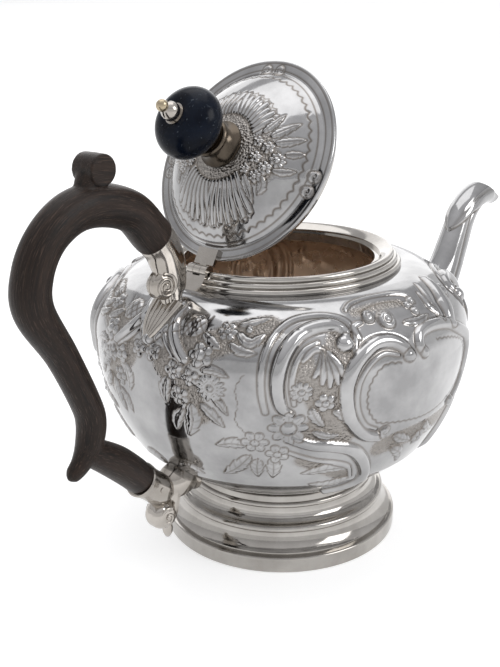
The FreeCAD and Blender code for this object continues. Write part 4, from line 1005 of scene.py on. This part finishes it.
lid_chasing.punch(lid_ring(10.6), 3.2)
lid_chasing.punch(on_lid((-122, 15), (-110, 19), (-95, 19), (-80, 16)), 4.6)
for flute, angle in enumerate((-138, -145, -152, -159, -166, -173, -180, -187)):
    stops = on_lid((angle + 5, 13.2), (angle, 18.5), (angle - 2, 25.4 + flute % 2))
    lid_chasing.ridge(stops, 1.4, 0.65, 0.5)
for flute, angle in enumerate((-54, -47, -40, -33, -26, -19, -12, -5, 2)):
    stops = on_lid((angle - 5, 12.8), (angle, 16.2), (angle + 2, 19.4 + flute % 2))
    lid_chasing.ridge(stops, 1.2, 0.7, 0.5)
lid_chasing.waved(lid_ring(22.0, -58, 6, 6), 3.0, 1.0, 0.2)
lid_chasing.waved(lid_ring(27.4, -192, -138, 6), 3.4, 1.0, 0.2)
lid_chasing.leaf(on_lid((-72, 18.5), (-67, 22.5), (-62, 27.5)), 1.7, 0.5, 4)
lid_chasing.leaf(on_lid((-79, 20), (-77, 24), (-74, 28.8)), 1.6, 0.5, 4)
lid_chasing.leaf(on_lid((-66, 16), (-59, 19.5), (-52, 23.5)), 1.5, 0.5, 4)
lid_chasing.leaf(on_lid((-88, 24), (-86, 26.6), (-84, 29.2)), 1.2, 0.4, 3)
lid_chasing.leaf(on_lid((-104, 22), (-101, 25.4), (-97, 28.4)), 1.2, 0.4, 3)
lid_chasing.leaf(on_lid((-112, 20), (-120, 22.4), (-127, 23)), 1.6, 0.5, 4)
lid_chasing.leaf(on_lid((-124, 15), (-130, 19), (-135, 24)), 1.5, 0.5, 4)
lid_chasing.flower(on_lid((-94, 22.2)), 2.7, 0.8, 8, 0.36)
lid_chasing.flower(on_lid((-105, 19.6)), 2.5, 0.75, 6, 0.34)
lid_chasing.flower(on_lid((-117, 18.6)), 2.3, 0.7, 6)
lid_chasing.flower(on_lid((-84, 18.2)), 2.3, 0.75, 6, 0.34)
lid_chasing.flower(on_lid((-98, 15.2)), 2.2, 0.7, 5)
lid_chasing.flower(on_lid((-77, 14.6)), 2.0, 0.7, 5)
lid_chasing.flower(on_lid((-118, 14)), 1.9, 0.7, 5)
for angle in (-95.4, -104.6, -5):
    lid_chasing.curl(on_lid((angle, 33.6)), 2.0, 0.5)
lid_chasing.waved(lid_ring(30.2), 3.6, 0.8, 0.3)
for reach, width in ((31.8, 0.2), (33.9, 0.22), (36.4, 0.22)):
    lid_chasing.line(lid_ring(reach), width, 0.08)
lid_chasing.soften()
lid_fold = np.minimum(np.arange(LID_COLUMNS), LID_COLUMNS - np.arange(LID_COLUMNS))
lid_relief = lid_chasing.relief[:, lid_fold]
border_rows = len(border_radius)
lid_top_height = np.concatenate([np.full(border_rows, 0.3), dome_height])
lid_out = np.concatenate([np.zeros(border_rows), dome_out])
lid_up = np.concatenate([np.ones(border_rows), dome_up])
lid_face = turned_rows(lid_radius[:, None] + lid_relief * lid_out[:, None],
                       lid_top_height[:, None] + lid_relief * lid_up[:, None], lid_turn)
lid_hollow = [(1.25, 11.6), (8.6, 11.6)] + arc((8.6, 11.6), (21.0, 7.7), (31.9, -0.9), 24)
lid_crown = plain_rows([(1.25, 12.7)], lid_turn)
lid_under = plain_rows(lid_hollow, lid_turn)
lid_edge = plain_rows([(37.4, -0.9), (37.4, 0.1)], lid_turn)
lid_grid = np.concatenate([lid_edge, lid_face, lid_crown, lid_under])
face_rows = slice(len(lid_edge), len(lid_edge) + len(lid_face))
lid_tarnish_and_shade = np.zeros((len(lid_grid), LID_COLUMNS))
lid_tarnish_and_shade[face_rows] = lid_chasing.soot[:, lid_fold]
# the underside of the lid is darkened evenly
lid_tarnish_and_shade[-len(lid_under):] = 0.35
lid_punched = np.zeros(lid_tarnish_and_shade.shape)
lid_punched[face_rows] = lid_chasing.matting[:, lid_fold]
lid_shape = raised((lid_grid.reshape(-1, 3), skin(len(lid_grid), LID_COLUMNS)))
make_piece("chased_lid", lid_shape, chased_silver, "lid", "lid_shell", crease=60, soot=lid_tarnish_and_shade,
           matting=lid_punched)

# Lid bezel
# A plain strip bent round and soldered inside the border; it drops into the mouth and steadies the lid.
# Its lower edge is filed round.

bezel_turning = [(35.0, -0.9), (35.0, -4.7), (34.8, -5.0), (34.2, -5.0), (34.0, -4.7), (34.0, -0.9)]
make_piece("lid_bezel_strip", raised(spun(bezel_turning)), turned_silver, "lid", "lid_bezel")

# Knob collar
# A turned silver stem between lid and bead, with a round ring at its waist. Old polish and dirt have
# turned it a clouded brown.

collar_turning = [(1.25, 12.7), (8.4, 12.7), (8.4, 13.7)]
collar_turning += arc((8.4, 13.7), (6.15, 15.5), (5.4, 17.74), 12)
collar_turning += arc((5.4, 17.74), (7.0, 18.97), (5.4, 20.2), 14)
collar_turning += arc((5.4, 20.2), (5.76, 22.2), (6.6, 23.9), 10)
collar_turning += [(1.25, 23.9)]
browned_silver = silver("browned_silver", (0.12, 0.098, 0.076, 1), (0.035, 0.029, 0.023, 1), smooth=0.14,
                        rough=0.30, streak=(200, 200, 900), wave=0.05)
make_piece("turned_collar", raised(spun(collar_turning, 180)), browned_silver, "lid", "knob_collar")

# Knob bead
# A drilled bead of blue-black speckled stone, polished, threaded on the stud above the collar.
# It is a flattened ball with a small flat at each end.

bead_turning = [(1.25, 23.9), (6.6, 23.9)]
bead_turning += arc((6.6, 23.9), (11.1, 26.84), (12.5, 31.18), 24)
bead_turning += arc((12.5, 31.18), (10.4, 35.8), (4.2, 37.9), 24)
bead_turning += [(1.25, 37.9)]


def speckled_stone(name):
    """Blue-black stone, clouded and finely flecked."""
    finish, tree, shader = new_finish(name)
    spot = add(tree, "TexCoord").outputs["Object"]
    cloud = add(tree, "TexNoise", {"Vector": spot, "Scale": 120.0, "Detail": 5.0})
    deep = add(tree, "ValToRGB", {"Fac": cloud.outputs["Fac"]})
    deep.color_ramp.elements[0].position = 0.35
    deep.color_ramp.elements[0].color = (0.002, 0.003, 0.007, 1)
    deep.color_ramp.elements[1].position = 0.7
    deep.color_ramp.elements[1].color = (0.007, 0.012, 0.024, 1)
    flecks = add(tree, "TexNoise", {"Vector": spot, "Scale": 900.0, "Detail": 2.0})
    fleck = add(tree, "MapRange", {"Value": flecks.outputs["Fac"], "From Min": 0.66, "From Max": 0.76,
                                   "To Max": 0.4})
    speckled = tinted(tree, fleck.outputs["Result"], deep.outputs["Color"], (0.16, 0.19, 0.22, 1))
    tree.links.new(speckled, shader.inputs["Base Color"])
    dull = add(tree, "MapRange", {"Value": cloud.outputs["Fac"], "To Min": 0.14, "To Max": 0.30})
    tree.links.new(dull.outputs["Result"], shader.inputs["Roughness"])
    shader.inputs["Specular IOR Level"].default_value = 0.1
    pits = add(tree, "Bump", {"Height": flecks.outputs["Fac"], "Strength": 0.12, "Distance": 0.0002})
    tree.links.new(pits.outputs["Normal"], shader.inputs["Normal"])
    return finish


make_piece("stone_bead", raised(spun(bead_turning, 240)), speckled_stone("speckled_stone"), "lid", "knob",
           slot="knob_bead", crease=40)

# Knob fittings
# A thin washer, a slotted domed nut and a small brass ball on the stud above the bead, and the stud's
# own head with its washer inside the lid. All are plain turned pieces and keep their solids.

dull_brass = silver("dull_brass", (0.50, 0.42, 0.30, 1), (0.30, 0.25, 0.17, 1), smooth=0.16, rough=0.3,
                    streak=(400, 400, 400), wave=0.05)
dress(cast_silver, "knob_washer", "knob_nut", "knob_bolt", "bolt_washer")
dress(dull_brass, "finial_ball")

# Floor, light and camera
# A plain white floor that curves up into a wall far off and keeps the pot's shadow, a soft light from
# the front right, one behind and one above, and a camera where the photograph was taken.

floor_tone, floor_glow = 0.65, 0.56
floor_turning = [(0.0, 0.0), (24.0, 0.0)]
floor_turning += arc((24.0, 0.0), (25.41, 0.59), (26.0, 2.0), 12)
floor_turning += [(26.0, 12.0)]
floor_points, floor_faces = spun(floor_turning, 96, close=False)
floor_mesh = bpy.data.meshes.new("white_floor")
floor_mesh.from_pydata(floor_points.tolist(), [], floor_faces.tolist())
floor_mesh.shade_smooth()
floor = bpy.data.objects.new("white_floor", floor_mesh)
bpy.context.scene.collection.objects.link(floor)
floor_finish, floor_tree, floor_shader = new_finish("white_paper")
floor_shader.inputs["Base Color"].default_value = (floor_tone, floor_tone, floor_tone, 1)
floor_shader.inputs["Roughness"].default_value = 0.9
floor_shader.inputs["Specular IOR Level"].default_value = 0.0
rays = add(floor_tree, "LightPath").outputs
seen = rays["Is Camera Ray"]
for ray in ("Is Glossy Ray", "Is Transmission Ray"):
    seen = add(floor_tree, "Math", {0: seen, 1: rays[ray]}, operation="MAXIMUM").outputs["Value"]
lift = add(floor_tree, "Math", {0: seen, 1: floor_glow}, operation="MULTIPLY")
floor_shader.inputs["Emission Color"].default_value = (1, 1, 1, 1)
floor_tree.links.new(lift.outputs["Value"], floor_shader.inputs["Emission Strength"])
floor_mesh.materials.append(floor_finish)

# the room is brighter overhead than at the level of the table
studio = bpy.data.worlds.new("studio")
studio.use_nodes = True
studio_tree = studio.node_tree
ceiling = studio_tree.nodes["Background"]
ceiling.inputs["Color"].default_value = (1.0, 1.0, 1.02, 1)
facing = add(studio_tree, "SeparateXYZ", {"Vector": add(studio_tree, "TexCoord").outputs["Generated"]})
overhead = add(studio_tree, "MapRange", {"Value": facing.outputs["Z"], "To Min": 0.32, "To Max": 0.95})
studio_tree.links.new(overhead.outputs["Result"], ceiling.inputs["Strength"])
bpy.context.scene.world = studio
pot_middle = Vector((0.0, 0.0, 0.08))


def soft_light(name, spot, size, power):
    """A rectangular lamp that faces the pot."""
    lamp = bpy.data.lights.new(name, "AREA")
    lamp.shape = "RECTANGLE"
    lamp.size, lamp.size_y = size
    lamp.energy = power
    light = bpy.data.objects.new(name, lamp)
    light.location = spot
    light.rotation_euler = (pot_middle - light.location).to_track_quat("-Z", "Y").to_euler()
    bpy.context.scene.collection.objects.link(light)


soft_light("key_light", (0.22, -0.75, 0.62), (0.44, 0.44), 2.7)
soft_light("back_light", (1.3, 1.3, 0.8), (2.2, 1.2), 8.0)
soft_light("top_light", (0.15, 0.2, 1.0), (0.8, 0.8), 2.4)

lens = bpy.data.cameras.new("camera")
lens.lens = 53.97
lens.shift_x = 0.0733
lens.shift_y = -0.0009
lens.clip_start = 0.01
lens.clip_end = 200
camera = bpy.data.objects.new("camera", lens)
camera_place, heading, dip, roll = (-0.2808, -0.2360, 0.2065), 44.73, 19.21, -1.86
camera.matrix_world = (Matrix.Translation(camera_place)
                       @ Matrix.Rotation(math.radians(heading - 90), 4, "Z")
                       @ Matrix.Rotation(math.radians(90 - dip), 4, "X")
                       @ Matrix.Rotation(math.radians(roll), 4, "Z"))
bpy.context.scene.collection.objects.link(camera)
bpy.context.scene.camera = camera
bpy.context.scene.view_settings.view_transform = "Standard"
